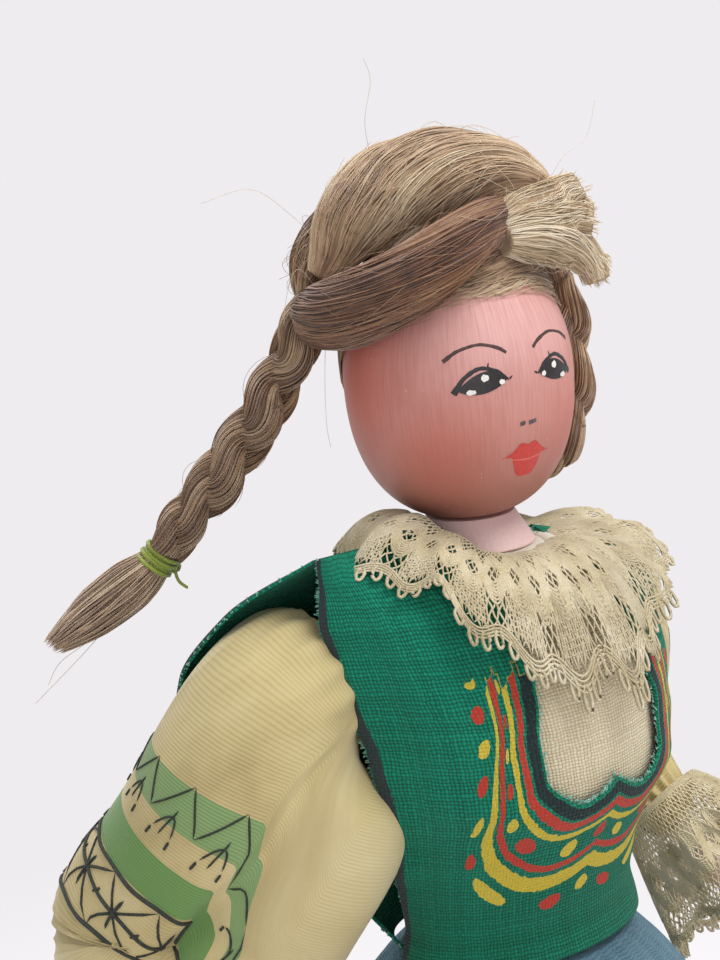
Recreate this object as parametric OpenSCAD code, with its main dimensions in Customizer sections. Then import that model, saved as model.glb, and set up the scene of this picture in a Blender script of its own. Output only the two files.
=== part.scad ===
// Posable costume doll: a wire armature padded with wound cotton, a turned wooden head with yarn hair and
// two braids, and a folk costume of skirt, bodice, full sleeves and gathered lace.
// Millimetres. The doll faces -Y, its right hand is on -X, and Z = 0 is the floor under its shoes.

/* [Legs and shoes] */
// Distance between the two leg wires
leg_gap = 20; // [17:0.5:26]
// Height of the ankle above the floor
ankle_h = 12; // [11:0.5:15]
// Knee to ankle
shin_len = 55; // [48:1:62]
// Hip to knee
thigh_len = 58; // [50:1:66]
// Greatest thickness of the stockinged calf
calf_d = 9.2; // [8:0.2:12]
// Greatest thickness of the wound thigh
thigh_d = 11; // [9:0.2:14]
// Length of a shoe
shoe_len = 29; // [24:0.5:34]
// Width of a shoe
shoe_w = 11; // [9:0.2:14]
// Thickness of a sole
sole_t = 1.6; // [1:0.1:2.5]

/* [Body] */
// Hip wire to waist
hip_rise = 21; // [18:0.5:26]
// Waist to shoulder wire
chest_rise = 41; // [37:0.5:46]
// Shoulder wire to the root of the neck
shoulder_rise = 9; // [8:0.5:12]
// Width of the padded hips
hip_w = 32; // [28:0.5:36]
// Width of the padded waist
waist_w = 21; // [18:0.5:24]
// Depth of the padded waist
waist_d = 18.6; // [16:0.2:22]
// Width of the padded bust
bust_w = 39; // [35:0.5:43]
// Depth of the padded bust
bust_d = 35; // [31:0.5:38]
// Width of the padded shoulders
shoulder_w = 44; // [40:0.5:47]
// Depth of the padded shoulders
shoulder_d = 26; // [22:0.5:29]
// Distance between the two shoulder joints
arm_gap = 55; // [53:0.5:60]

/* [Wire] */
// Thickness of the armature wire
wire_d = 1.6; // [1.2:0.1:1.8]
// Outer diameter of a wire eye
eye_d = 4.4; // [4.2:0.1:5]
// Play between a wire and the eye that turns on it, across the diameter
eye_play = 0.2; // [0.1:0.05:0.2]

/* [Arms] */
// Shoulder to elbow
upper_len = 44; // [40:0.5:48]
// Elbow to wrist
fore_len = 28; // [26:0.5:32]
// Greatest thickness of the wound upper arm
upper_d = 8; // [6:0.2:9]
// Greatest thickness of the wound forearm
fore_d = 6.6; // [5.4:0.2:7]
// Widest diameter of a sleeve, at the elbow
sleeve_d = 26; // [22:0.5:27]
// Diameter of a sleeve at the shoulder
sleeve_cap_d = 16.4; // [14:0.2:17]
// Diameter of a gathered sleeve end
sleeve_end_d = 8.2; // [8:0.2:10]
// Length of the hand
hand_len = 14; // [11:0.5:17]
// Length of a lace cuff
cuff_len = 17; // [12:0.5:19]
// Diameter of a lace cuff at its free edge
cuff_d = 16; // [14:0.5:17]

/* [Head] */
// Widest diameter of the wooden head
head_d = 30.6; // [28:0.2:33]
// Head below its widest circle
head_low = 19.4; // [18:0.2:22]
// Head above its widest circle
head_top = 18; // [16:0.2:21]
// Turn of the head to the doll's right, in degrees
head_turn = 7; // [0:1:14]
// Diameter of the neck under the chin
neck_d = 12; // [10:0.2:13]
// Diameter of the peg in the head
peg_d = 5; // [4.6:0.1:6]
// Length of the peg in the head
peg_len = 9; // [7:0.5:11]
// Thickness of the hair cap
hair_t = 1.6; // [1.2:0.1:2.4]

/* [Braids] */
// Half the width that a strand swings across a braid
braid_swing = 2.1; // [2:0.05:2.4]
// Thickness of one strand
strand_d = 2; // [1.7:0.02:2.04]
// Length of one turn of a strand
braid_pitch = 24; // [18:0.5:28]
// Length of a tassel below its tie
tassel_len = 17; // [12:0.5:18]
// Greatest thickness of a tassel
tassel_d = 5.6; // [4.8:0.2:6.2]

/* [Clothes] */
// Thickness of the bodice cloth
bodice_t = 0.9; // [0.6:0.1:1.1]
// Thickness of the chemise
chemise_t = 0.6; // [0.4:0.1:0.8]
// Air between two layers of cloth
layer_gap = 0.2; // [0.1:0.05:0.3]
// Depth of the neckline scoop below the root of the neck
scoop_drop = 31; // [26:0.5:34]
// Drop of the lace collar in front, below the root of the neck
collar_drop = 15; // [12:0.5:18]
// Number of gathers round the collar
collar_folds = 12; // [8:1:14]
// Length of the skirt
skirt_len = 103; // [90:1:108]
// Radius of the skirt hem at the crest of a fold
hem_r = 60; // [58:0.5:66]
// Number of folds round the skirt
skirt_folds = 16; // [12:4:20]
// Height of the waistband
band_h = 5; // [3:0.5:6]

/* [Hidden] */
$fn = 40;

// Heights, from the floor up
knee_z = ankle_h + shin_len;
hip_z = knee_z + thigh_len;
waist_z = hip_z + hip_rise;
shoulder_z = waist_z + chest_rise;
root_z = shoulder_z + shoulder_rise;
neck_show = 4;
chin_flat = 0.6;
head_play = 0.2;
head_z = root_z + neck_show + head_play + head_low - chin_flat;

// How far each level stands behind the middle of the skirt
bust_y = -3.2;
shoulder_y = -1.5;
root_y = -0.5;
head_y = 2;
spine_y = -1;

// Wires: the spine is a twisted pair, and the cross wires lie just behind it
wire_r = wire_d / 2;
bore_r = wire_r + eye_play / 2;
pin_r = wire_r - 0.08;
twist_r = wire_r + 0.03;
spine_r = twist_r + wire_r;
wire_y = spine_y + spine_r + wire_r + 0.17;
eye_t = wire_d + 0.3;
eye_off = wire_r + 0.25 + eye_t / 2;
eye_reach = (bore_r + eye_d / 2) / 2 + 0.15;
pin_len = eye_off + eye_t / 2 + 0.6;
pad_clear = 5;

// Padded torso: height, half width, half depth and set-back of each level
pad_z = hip_z + 3.5;
torso = [
    [pad_z, hip_w * 0.42, hip_w * 0.34, 0],
    [hip_z + hip_rise * 0.45, hip_w * 0.44, hip_w * 0.36, 0],
    [waist_z, waist_w / 2, waist_d / 2, 0],
    [waist_z + chest_rise * 0.15, waist_w * 0.56, waist_d * 0.57, -0.6],
    [waist_z + chest_rise * 0.32, bust_w * 0.40, bust_d * 0.40, -1.9],
    [waist_z + chest_rise * 0.50, bust_w / 2, bust_d / 2, bust_y],
    [waist_z + chest_rise * 0.72, bust_w / 2 + 1, bust_d / 2 - 0.5, bust_y + 0.2],
    [waist_z + chest_rise * 0.88, shoulder_w / 2 - 0.3, (bust_d + shoulder_d) / 4, -2.4],
    [shoulder_z, shoulder_w / 2, shoulder_d / 2, shoulder_y],
    [shoulder_z + shoulder_rise * 0.5, shoulder_w * 0.44, shoulder_d * 0.41, -1],
    [shoulder_z + shoulder_rise * 0.8, shoulder_w * 0.31, shoulder_d * 0.34, -0.7],
    [root_z, neck_d * 0.72, neck_d * 0.64, root_y]
];
torso_w = [for (s = torso) [s[0], s[1]]];
torso_d = [for (s = torso) [s[0], s[2]]];
torso_y = [for (s = torso) [s[0], s[3]]];

// Layers of cloth over the padding
chemise_in = layer_gap;
chemise_out = chemise_in + chemise_t;
bodice_in = chemise_out + 3 * layer_gap;
bodice_out = bodice_in + bodice_t;
band_t = bodice_out - layer_gap;
skirt_t = 0.9;
skirt_top = waist_z - band_h - 0.1;

// Arms, right then left: side, directions of upper arm and forearm, and where the joints come
side = [-1, 1];
upper_dir = [unit([-15, 17, -32]), unit([12, 21, -26])];
fore_dir = [unit([3, -17, -24]), unit([5, -18, -17])];
hinge = [for (i = [0, 1]) unit(cross(upper_dir[i], fore_dir[i]))];
shoulder = [for (s = side) [s * arm_gap / 2, wire_y, shoulder_z]];
elbow = [for (i = [0, 1]) shoulder[i] + upper_len * upper_dir[i]];
fore = [for (i = [0, 1]) elbow[i] + eye_off * hinge[i]];
sleeve_wall = 0.7;
sleeve_bend = 16;

// Head: where hair starts, and the slope of its edge from forehead to nape
hair_edge_z = 5.5;
hair_edge_tilt = 24;
head_r = head_d / 2;
egg_power = 2.4;

// Braid routes, worked out from hand-chosen points
braid_right_out = 3;
braid_right_root = concat((head_r + braid_right_out) * unit([-2, 1]), [11.6]);
braid_right_route = [
    [0, 0, 0], [-2.7, 1.8, -6.2], [-6.2, 4.1, -13], [-10.5, 6.8, -20], [-15, 9.8, -26.2], [-19.4, 12.5, -32]
];
braid_left_out = 3.6;
braid_left_root = [head_r + braid_left_out, head_y - 0.9, head_z];
braid_left_route = [
    [-0.3, 0, 10], [0.9, 0, 0], [-0.2, 0.4, -9], [-2, 1.4, -14], [-3.6, 6.4, -16.4],
    [-5, 13, -18.2], [-5.6, 18.8, -23], [-5.9, 21.8, -31], [-5.9, 22.2, -37]
];
braid_rise = 1.42;
tie_w = 2.6;
tie_in = 1.7;
tie_out = 2.6;
braid_steps = 34;

// Colours
cotton = "#e4dccb";
iron = "#8c8f92";
flesh = "#d98f80";
pale_flesh = "#efc4b4";
cream = "#e8dfc8";
ecru = "#dccdaa";
green = "#147a5c";
blue = "#4a7388";
hair = "#9a8060";
pale_hair = "#bfae86";
thread = "#b4b44a";
black = "#26241f";
leather = "#4a3526";

function unit(v) = v / norm(v);
function mix(a, b, t) = a + (b - a) * t;
function clamp(x) = max(0, min(1, x));

// A point on a smooth curve through the points of a route, for t from 0 to 1
function on_route(p, t) =
    let (
        n = len(p) - 1,
        i = min(n - 1, floor(t * n)),
        f = t * n - i,
        a = p[max(0, i - 1)],
        b = p[i],
        c = p[i + 1],
        d = p[min(n, i + 2)]
    )
    b + f * ((c - a) / 2 + f * ((a - 2.5 * b + 2 * c - d / 2) + f * (1.5 * (b - c) + (d - a) / 2)));
function heading(p, t) = unit(on_route(p, min(1, t + 0.01)) - on_route(p, max(0, t - 0.01)));
function route_len(p, n = 60) =
    let (q = [for (k = [0:n]) norm(on_route(p, k / n) - on_route(p, max(0, (k - 1) / n)))])
    q * [for (k = [0:n]) 1];
function across(t, up) = unit(up - (up * t) * t);

// A ring of points round centre c, square to direction t
function ring(c, t, up, ra, rb, n) =
    let (e = across(t, up), f = cross(t, e))
    [for (j = [0:n - 1]) c + ra * cos(360 * j / n) * e + rb * sin(360 * j / n) * f];

// A closed solid from rings of points, capped at both ends
module skin(rings) {
    n = len(rings[0]);
    m = len(rings);
    walls = [
        for (i = [0:m - 2], j = [0:n - 1])
            let (a = i * n + j, b = i * n + (j + 1) % n)
            each [[a, b + n, b], [a, a + n, b + n]]
    ];
    caps = [[for (j = [0:n - 1]) j], [for (j = [0:n - 1]) m * n - 1 - j]];
    polyhedron([for (r = rings) each r], concat(walls, caps), convexity = 6);
}

// A closed shell from rings that run down its outside and back up its inside
module shell(rings) {
    n = len(rings[0]);
    m = len(rings);
    walls = [
        for (i = [0:m - 1], j = [0:n - 1])
            let (a = i * n + j, b = i * n + (j + 1) % n, c = (i + 1) % m * n)
            each [[a, c + (j + 1) % n, b], [a, c + j, c + (j + 1) % n]]
    ];
    polyhedron([for (r = rings) each r], walls, convexity = 8);
}

// A sheet with thickness, from an outer and an inner grid of points
module sheet(outer, inner) {
    m = len(outer);
    n = len(outer[0]);
    loops = [for (i = [0:m - 1]) concat(outer[i], [for (j = [n - 1:-1:0]) inner[i][j]])];
    w = 2 * n;
    walls = [
        for (i = [0:m - 2], j = [0:w - 1])
            let (a = i * w + j, b = i * w + (j + 1) % w)
            each [[a, b + w, b], [a, a + w, b + w]]
    ];
    caps = [
        for (j = [0:n - 2])
            let (k = (m - 1) * w)
            each [
                [j, j + 1, w - 1 - j], [j + 1, w - 2 - j, w - 1 - j],
                [k + j, k + w - 1 - j, k + j + 1], [k + j + 1, k + w - 1 - j, k + w - 2 - j]
            ]
    ];
    polyhedron([for (l = loops) each l], concat(walls, caps), convexity = 6);
}

// Turns +Z to a direction, at a point
module along(p, d) {
    translate(p)
        rotate([0, acos(d[2] / norm(d)), atan2(d[1], d[0])])
            children();
}

module rod(p, q, r) {
    along(p, q - p)
        cylinder(r = r, h = norm(q - p));
}

// Wire eye at a point, turning about a direction on a pin of radius r
module eye(p, d, r) {
    along(p, d)
        difference() {
            cylinder(d = eye_d, h = eye_t, center = true);
            cylinder(r = r + eye_play / 2, h = eye_t + 1, center = true);
        }
}

// End of a wire bent square into a pin that an eye turns on
module pin(p, d) {
    rod(p - pin_r * d, p + pin_len * d, pin_r);
}

// Wound padding on a wire: a spindle with a bore, from s0 to s1 along Z
module wound(s0, s1, d, end_share) {
    r = d / 2;
    edge = [
        for (k = [0:10])
            [r * mix(end_share, 1, pow(sin(18 * k), 0.8)), mix(s0, s1, k / 10)]
    ];
    rotate_extrude()
        polygon(concat([[wire_r + 0.05, s0]], edge, [[wire_r + 0.05, s1]]));
}

// Places things on the head, which is turned a little to the doll's right
module on_head() {
    translate([0, head_y, head_z])
        rotate([0, 0, -head_turn])
            children();
}
function head_point(p) =
    [
        p[0] * cos(head_turn) + p[1] * sin(head_turn),
        head_y - p[0] * sin(head_turn) + p[1] * cos(head_turn),
        head_z + p[2]
    ];

// Half outline of the egg, grown by g
function egg_edge(g) =
    [
        for (a = [-90:6:90])
            let (h = a < 0 ? head_low : head_top, e = a < 0 ? 2 / egg_power : 1)
            [(head_r + g) * pow(cos(a), e), (h + g) * sign(a) * pow(abs(sin(a)), e)]
    ];

// Point of the padded torso at a height and an angle, grown by g
function torso_point(z, a, g) =
    [
        (lookup(z, torso_w) + g) * cos(a),
        lookup(z, torso_y) + (lookup(z, torso_d) + g) * sin(a),
        z
    ];
function torso_ring(z, g, n) = [for (j = [0:n - 1]) torso_point(z, 360 * j / n, g)];

module spine_wire() {
    turns = 7;
    steps = turns * 8;
    z0 = hip_z - 3;
    z1 = root_z + 3;
    color(iron)
        for (h = [0, 180])
            skin([
                for (k = [0:steps])
                    let (a = h + 360 * turns * k / steps, z = mix(z0, z1, k / steps))
                    ring([twist_r * cos(a), spine_y + twist_r * sin(a), z], [0, 0, 1], [1, 0, 0], wire_r, wire_r, 6)
            ]);
}

module cross_wire(z, half) {
    color(iron)
        rod([-half, wire_y, z], [half, wire_y, z], wire_r);
}

module shoulder_wire() {
    cross_wire(shoulder_z, arm_gap / 2 + eye_t / 2 + 0.8);
}

module hip_wire() {
    cross_wire(hip_z, leg_gap / 2 + eye_t / 2 + 0.8);
}

module torso_padding() {
    color(cotton)
        difference() {
            skin([for (s = torso) torso_ring(s[0], 0, 28)]);
            translate([0, spine_y, pad_z - 1])
                cylinder(r = spine_r + 0.12, h = root_z - pad_z + 2);
            rod([-arm_gap, wire_y, shoulder_z], [arm_gap, wire_y, shoulder_z], wire_r + 0.1);
        }
}

module neck() {
    color(pale_flesh)
        difference() {
            union() {
                hull() {
                    translate([0, root_y, root_z])
                        cylinder(d = neck_d + 1.6, h = 0.2);
                    translate([0, head_y, root_z + neck_show - 0.2])
                        cylinder(d = neck_d, h = 0.2);
                }
                translate([0, head_y, root_z + neck_show - 0.2])
                    cylinder(d = peg_d, h = peg_len + 0.2);
            }
            translate([0, spine_y, root_z - 1])
                cylinder(r = spine_r + 0.12, h = 4.2);
        }
}

module chemise_front() {
    cols = 12;
    low_z = waist_z + chest_rise * 0.3;
    heights = [for (s = torso) if (s[0] > low_z) min(s[0], root_z - 0.4)];
    grid = [
        for (g = [chemise_out, chemise_in])
            [
                for (z = concat([low_z], heights))
                    [
                        for (j = [0:cols])
                            torso_point(z, 270 + mix(-47, 47, j / cols), g)
                    ]
            ]
    ];
    color(cream)
        sheet(grid[0], grid[1]);
}

// Bodice panel: angle from its middle and height, for u from -1 to 1 across and v from 0 to 1 up
front_cut = 18;
back_cut = 43;
armhole_low = 0.1;
armhole_high = 0.94;
function armhole(v, deep) =
    deep * pow(sin(180 * clamp((v - armhole_low) / (armhole_high - armhole_low))), 0.6);
function panel_angle(u, v, deep, edge) =
    let (w = abs(u))
    sign(u) * ((1 - v) * 89.6 * w + v * lookup(w, edge) - w * armhole(v, deep));
function panel_height(u, v, top) =
    mix(waist_z + 0.2, lookup(abs(u), top), v);

// Neckline: angle and height of the panel's top edge from its middle to the side of the neck
scoop_z = root_z - scoop_drop;
front_edge = [[0, 0], [0.2, 14], [0.36, 24], [0.5, 29], [0.65, 31], [0.8, 48], [1, 89.6]];
front_top = [
    [0, scoop_z + 2.8], [0.1, scoop_z + 0.9], [0.2, scoop_z], [0.36, scoop_z + 3],
    [0.5, scoop_z + 9], [0.65, root_z - 12], [0.8, root_z - 5], [1, root_z]
];
back_edge = [[0, 0], [0.5, 45], [1, 89.6]];
back_top = [[0, root_z - 6], [0.5, root_z - 3], [1, root_z]];

module panel(middle, deep, edge, top) {
    rows = 16;
    cols = 24;
    grid = [
        for (g = [bodice_out, bodice_in])
            [
                for (i = [0:rows])
                    [
                        for (j = [0:cols])
                            let (u = mix(-1, 1, j / cols), v = i / rows)
                            torso_point(panel_height(u, v, top), middle + panel_angle(u, v, deep, edge), g)
                    ]
            ]
    ];
    color(green)
        sheet(grid[0], grid[1]);
}

module bodice_front() {
    panel(270, front_cut, front_edge, front_top);
}

module bodice_back() {
    panel(90, back_cut, back_edge, back_top);
}

module lace_collar() {
    n = collar_folds * 5;
    rows = 4;
    lift = 0.8;
    ruffle = 1;
    thick = 0.8;
    function edge_z(a) =
        root_z - 3.2 - (collar_drop - 3.2) * pow(max(0, -sin(a)), 2) - 5 * pow(max(0, sin(a)), 2);
    function rings(g) =
        [
            for (i = [0:rows])
                let (t = i / rows)
                [
                    for (j = [0:n - 1])
                        let (a = 360 * j / n, fold = ruffle * (1 + cos(collar_folds * a)) * t)
                        torso_point(mix(root_z + 1, edge_z(a), t), a, bodice_out + 0.4 + g + lift * t + fold)
                ]
        ];
    outer = rings(thick);
    inner = rings(0);
    color(ecru)
        shell(concat([for (i = [rows:-1:0]) outer[i]], inner));
}

module waistband() {
    n = 32;
    z0 = waist_z - band_h;
    color(blue)
        shell([
            torso_ring(z0, band_t, n), torso_ring(waist_z, band_t, n),
            torso_ring(waist_z, layer_gap, n), torso_ring(z0, layer_gap, n)
        ]);
}

module skirt() {
    n = skirt_folds * 5;
    rows = 6;
    fold = 3;
    top_w = lookup(skirt_top, torso_w) + band_t;
    top_d = lookup(skirt_top, torso_d) + band_t;
    function radius(base, s, a) =
        mix(base, hem_r - fold, pow(s, 0.62)) + fold * pow(s, 0.8) * cos(skirt_folds * a);
    function rings(g) =
        [
            for (i = [0:rows])
                let (s = pow(i / rows, 1.5))
                [
                    for (j = [0:n - 1])
                        let (a = 360 * j / n)
                        [
                            (radius(top_w, s, a) - g) * cos(a),
                            (radius(top_d, s, a) - g) * sin(a),
                            skirt_top - s * skirt_len
                        ]
                ]
        ];
    outer = rings(0);
    inner = rings(skirt_t);
    color(blue)
        shell(concat([for (i = [rows:-1:0]) outer[i]], inner));
}

module head() {
    color(flesh)
        on_head()
            difference() {
                rotate_extrude()
                    polygon(egg_edge(0));
                translate([0, 0, -head_low - 1])
                    cylinder(r = head_r, h = 1 + chin_flat);
                translate([0, 0, -head_low - 1])
                    cylinder(d = peg_d + 0.16, h = 1 + chin_flat + peg_len + 0.5);
            }
}

module hair_cap() {
    half = [for (p = egg_edge(hair_t)) if (p[1] > -head_low * 0.4) p];
    hollow = [for (p = egg_edge(0.1)) if (p[1] > -head_low * 0.4) p];
    color(hair)
        on_head()
            difference() {
                rotate_extrude()
                    polygon(concat(half, [for (k = [len(hollow) - 1:-1:0]) hollow[k]]));
                rotate([-hair_edge_tilt, 0, 0])
                    translate([-head_d, -head_d, hair_edge_z - 2 * head_d])
                        cube([2 * head_d, 2 * head_d, 2 * head_d]);
            }
}

// Centre of a lock of radius r that lies on the cap at an angle round the head and an angle up it
function lock_point(a, up, r) =
    let (
        x = (head_r + hair_t) * cos(up),
        z = (head_top + hair_t) * sin(up),
        slope = unit([x / pow(head_r + hair_t, 2), z / pow(head_top + hair_t, 2)]),
        off = r + 0.12
    )
    [(x + slope[0] * off) * cos(a), (x + slope[0] * off) * sin(a), z + slope[1] * off];

// A lock laid over the cap, from stations of angle round, angle up and radius
module lock(stations) {
    steps = 15;
    n = 14;
    route = [for (s = stations) lock_point(s[0], s[1], s[2])];
    size = [for (k = [0:len(stations) - 1]) [k / (len(stations) - 1), stations[k][2]]];
    on_head()
        skin([
            for (k = [0:steps])
                let (t = k / steps, c = on_route(route, t), r = lookup(t, size))
                ring(c, heading(route, t), unit(c), r, r, n)
        ]);
}

module hair_roll_top() {
    color(hair)
        lock([[142, 36, 3.4], [160, 52, 4.8], [190, 68, 5.6], [250, 76, 5.8], [285, 66, 5], [298, 58, 3.2]]);
}

module hair_roll_side() {
    color(hair)
        lock([[166, 8, 2.2], [182, 19, 3], [210, 28, 3.2], [240, 36, 2.8], [264, 42, 2]]);
}

module hair_front_lock() {
    color(pale_hair)
        lock([[296, 36, 2.6], [312, 39, 3.8], [332, 42, 4.4], [352, 45, 4], [370, 47, 2.8]]);
}

// Three strands that cross over and under each other along a route
module braid(route, up) {
    turns = route_len(route) / braid_pitch;
    for (s = [0, 120, 240])
        skin([
            for (k = [0:braid_steps])
                let (
                    t = k / braid_steps,
                    a = s + 360 * turns * t,
                    d = heading(route, t),
                    e = across(d, up),
                    f = cross(d, e),
                    c = on_route(route, t) + braid_swing * sin(a) * e + braid_rise * sin(2 * a) * f
                )
                ring(c, d, up, strand_d / 2, strand_d / 2, 6)
        ]);
}

// Thread wound round the waist of a tassel
module tie(route) {
    color(thread)
        along(on_route(route, 1), heading(route, 1))
            translate([0, 0, 0.2])
                rotate_extrude()
                    polygon([
                        [tie_in, 0], [tie_out - 0.4, 0], [tie_out, 0.4], [tie_out, tie_w - 0.4],
                        [tie_out - 0.4, tie_w], [tie_in, tie_w]
                    ]);
}

module tassel(route) {
    r = tassel_d / 2;
    color(pale_hair)
        along(on_route(route, 1), heading(route, 1))
            translate([0, 0, 0.2])
                rotate_extrude()
                    polygon([
                        [0, 0], [tie_in - 0.05, 0], [tie_in - 0.05, tie_w + 0.1], [r * 0.85, tie_w + 2],
                        [r, tie_w + tassel_len * 0.35], [r * 0.9, tie_w + tassel_len * 0.6],
                        [r * 0.55, tie_w + tassel_len * 0.85], [r * 0.2, tie_w + tassel_len], [0, tie_w + tassel_len]
                    ]);
}

right_route = [for (p = braid_right_route) head_point(braid_right_root + p)];
left_route = [for (p = braid_left_route) braid_left_root + p];

module braid_right() {
    color(hair)
        braid(right_route, [-0.6, -0.7, 0.3]);
}

module tie_right() {
    tie(right_route);
}

module tassel_right() {
    tassel(right_route);
}

module braid_left() {
    color(hair)
        braid(left_route, [1, 0.3, 0.4]);
}

module tie_left() {
    tie(left_route);
}

module tassel_left() {
    tassel(left_route);
}

module arm_wire_upper(i) {
    color(iron) {
        eye(shoulder[i], [1, 0, 0], wire_r);
        rod(shoulder[i] + eye_reach * upper_dir[i], elbow[i], wire_r);
        pin(elbow[i], hinge[i]);
    }
}

module arm_padding_upper(i) {
    color(cotton)
        along(shoulder[i], upper_dir[i])
            wound(pad_clear, upper_len - pad_clear, upper_d, 0.6);
}

module arm_wire_lower(i) {
    color(iron) {
        eye(fore[i], hinge[i], pin_r);
        rod(fore[i] + eye_reach * fore_dir[i], fore[i] + (fore_len + 4) * fore_dir[i], wire_r);
    }
}

module arm_padding_lower(i) {
    color(cotton)
        along(fore[i], fore_dir[i])
            wound(pad_clear, fore_len - 0.4, fore_d, 0.62);
}

// Sleeve: full round the elbow, gathered at the wrist, with a cap that climbs over the shoulder
module sleeve(i) {
    n = 20;
    u = upper_dir[i];
    f = fore_dir[i];
    up = across(u, [0, 0, 1]);
    start = 4.4;
    bend_a = shoulder[i] + (upper_len - sleeve_bend) * u;
    bend_b = elbow[i];
    bend_c = fore[i] + (sleeve_bend - 2) * f;
    bend_steps = 7;
    straight = [10, 16];
    stations = concat(
        [for (s = straight) [shoulder[i] + s * u, u]],
        [
            for (k = [0:bend_steps])
                let (t = k / bend_steps)
                [
                    mix(mix(bend_a, bend_b, t), mix(bend_b, bend_c, t), t),
                    unit(mix(bend_b - bend_a, bend_c - bend_b, t))
                ]
        ],
        [for (s = [fore_len - 9, fore_len - 6]) [fore[i] + s * f, f]]
    );
    m = len(stations);
    size = [
        [0, mix(sleeve_cap_d, sleeve_d, 0.4) / 2], [0.3, sleeve_d / 2 - 0.6], [0.55, sleeve_d / 2],
        [0.8, sleeve_d * 0.42], [1, sleeve_end_d / 2]
    ];
    function rings(g) =
        concat(
            [
                [
                    for (j = [0:n - 1])
                        let (a = 360 * j / n, rise = 1 + cos(a), r = sleeve_cap_d / 2 - 1.2 * rise - g)
                        shoulder[i] + (start - 3.6 * rise) * u + r * (cos(a) * up + sin(a) * cross(u, up))
                ]
            ],
            [
                for (k = [0:m - 1])
                    let (r = lookup(k / (m - 1), size) - g)
                    ring(stations[k][0], stations[k][1], up, r, r, n)
            ]
        );
    outer = rings(0);
    inner = rings(sleeve_wall);
    color(cream)
        shell(concat(outer, [for (k = [m:-1:0]) inner[k]]));
}

// Lace frill that opens out over the hand
module lace_cuff(i) {
    folds = 7;
    n = folds * 5;
    rows = 3;
    thick = 0.7;
    f = fore_dir[i];
    e = across(f, [0, 0, 1]);
    g = cross(f, e);
    function rings(inset) =
        [
            for (k = [0:rows])
                let (t = k / rows)
                [
                    for (j = [0:n - 1])
                        let (
                            a = 360 * j / n,
                            r = mix(sleeve_end_d / 2, cuff_d / 2 - 0.8, pow(t, 0.7)) + 0.8 * t * cos(folds * a)
                        )
                        fore[i] + (fore_len - 5.8 + t * cuff_len) * f + (r - inset) * (cos(a) * e + sin(a) * g)
                ]
        ];
    outer = rings(0);
    inner = rings(thick);
    color(ecru)
        shell(concat(outer, [for (k = [rows:-1:0]) inner[k]]));
}

// Mitten hand with a thumb, drilled for the wire
module hand(i) {
    color(pale_flesh)
        along(fore[i] + fore_len * fore_dir[i], fore_dir[i])
            difference() {
                union() {
                    hull() {
                        cylinder(r = 1.9, h = 0.5, $fn = 24);
                        for (y = [-1.5, 1.5])
                            translate([0, y, hand_len * 0.45])
                                sphere(r = 1.6, $fn = 20);
                        for (y = [-1.2, 1.2])
                            translate([0.4, y, hand_len - 1.1])
                                sphere(r = 1.1, $fn = 20);
                    }
                    hull() {
                        translate([0, -side[i] * 1.4, hand_len * 0.3])
                            sphere(r = 1.2, $fn = 20);
                        translate([0.3, -side[i] * 3.8, hand_len * 0.6])
                            sphere(r = 0.9, $fn = 20);
                    }
                }
                translate([0, 0, -1])
                    cylinder(r = wire_r + 0.05, h = 5.2);
            }
}

module leg_wire_upper(i) {
    x = side[i] * leg_gap / 2;
    color(iron) {
        eye([x, wire_y, hip_z], [1, 0, 0], wire_r);
        rod([x, wire_y, hip_z - eye_reach], [x, wire_y, knee_z], wire_r);
        pin([x, wire_y, knee_z], [side[i], 0, 0]);
    }
}

module leg_padding_upper(i) {
    color(cotton)
        along([side[i] * leg_gap / 2, wire_y, hip_z], [0, 0, -1])
            wound(pad_clear, thigh_len - pad_clear, thigh_d, 0.6);
}

function shin_x(i) = side[i] * (leg_gap / 2 + eye_off);

module leg_wire_lower(i) {
    color(iron) {
        eye([shin_x(i), wire_y, knee_z], [1, 0, 0], pin_r);
        rod([shin_x(i), wire_y, knee_z - eye_reach], [shin_x(i), wire_y, sole_t + 2], wire_r);
    }
}

module stocking(i) {
    color(cream)
        along([shin_x(i), wire_y, knee_z], [0, 0, -1])
            wound(pad_clear, shin_len, calf_d, 0.66);
}

// Shoe: round toe in front of the ankle, heel behind it
heel_back = 10;
module shoe_plan(grow) {
    r = shoe_w / 2 + grow;
    hull() {
        translate([0, heel_back - shoe_w * 0.42])
            circle(r = r * 0.84, $fn = 32);
        translate([0, heel_back - shoe_len + shoe_w / 2])
            circle(r = r, $fn = 32);
    }
}

module shoe(i) {
    toe_y = heel_back - shoe_len + shoe_w / 2;
    color(black)
        translate([shin_x(i), wire_y, sole_t])
            difference() {
                hull() {
                    linear_extrude(height = 2.5)
                        shoe_plan(-0.6);
                    translate([0, 0, ankle_h - sole_t - 1.2])
                        cylinder(r = calf_d * 0.44, h = 0.8, $fn = 32);
                    translate([0, toe_y, 1.2])
                        sphere(r = shoe_w * 0.38, $fn = 24);
                }
                translate([0, 0, -shoe_w])
                    cube([2 * shoe_w, 4 * shoe_len, 2 * shoe_w], center = true);
                translate([0, 0, 1.9])
                    cylinder(r = wire_r + 0.05, h = ankle_h);
            }
}

module sole(i) {
    color(leather)
        translate([shin_x(i), wire_y, 0])
            linear_extrude(height = sole_t)
                shoe_plan(0);
}

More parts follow.
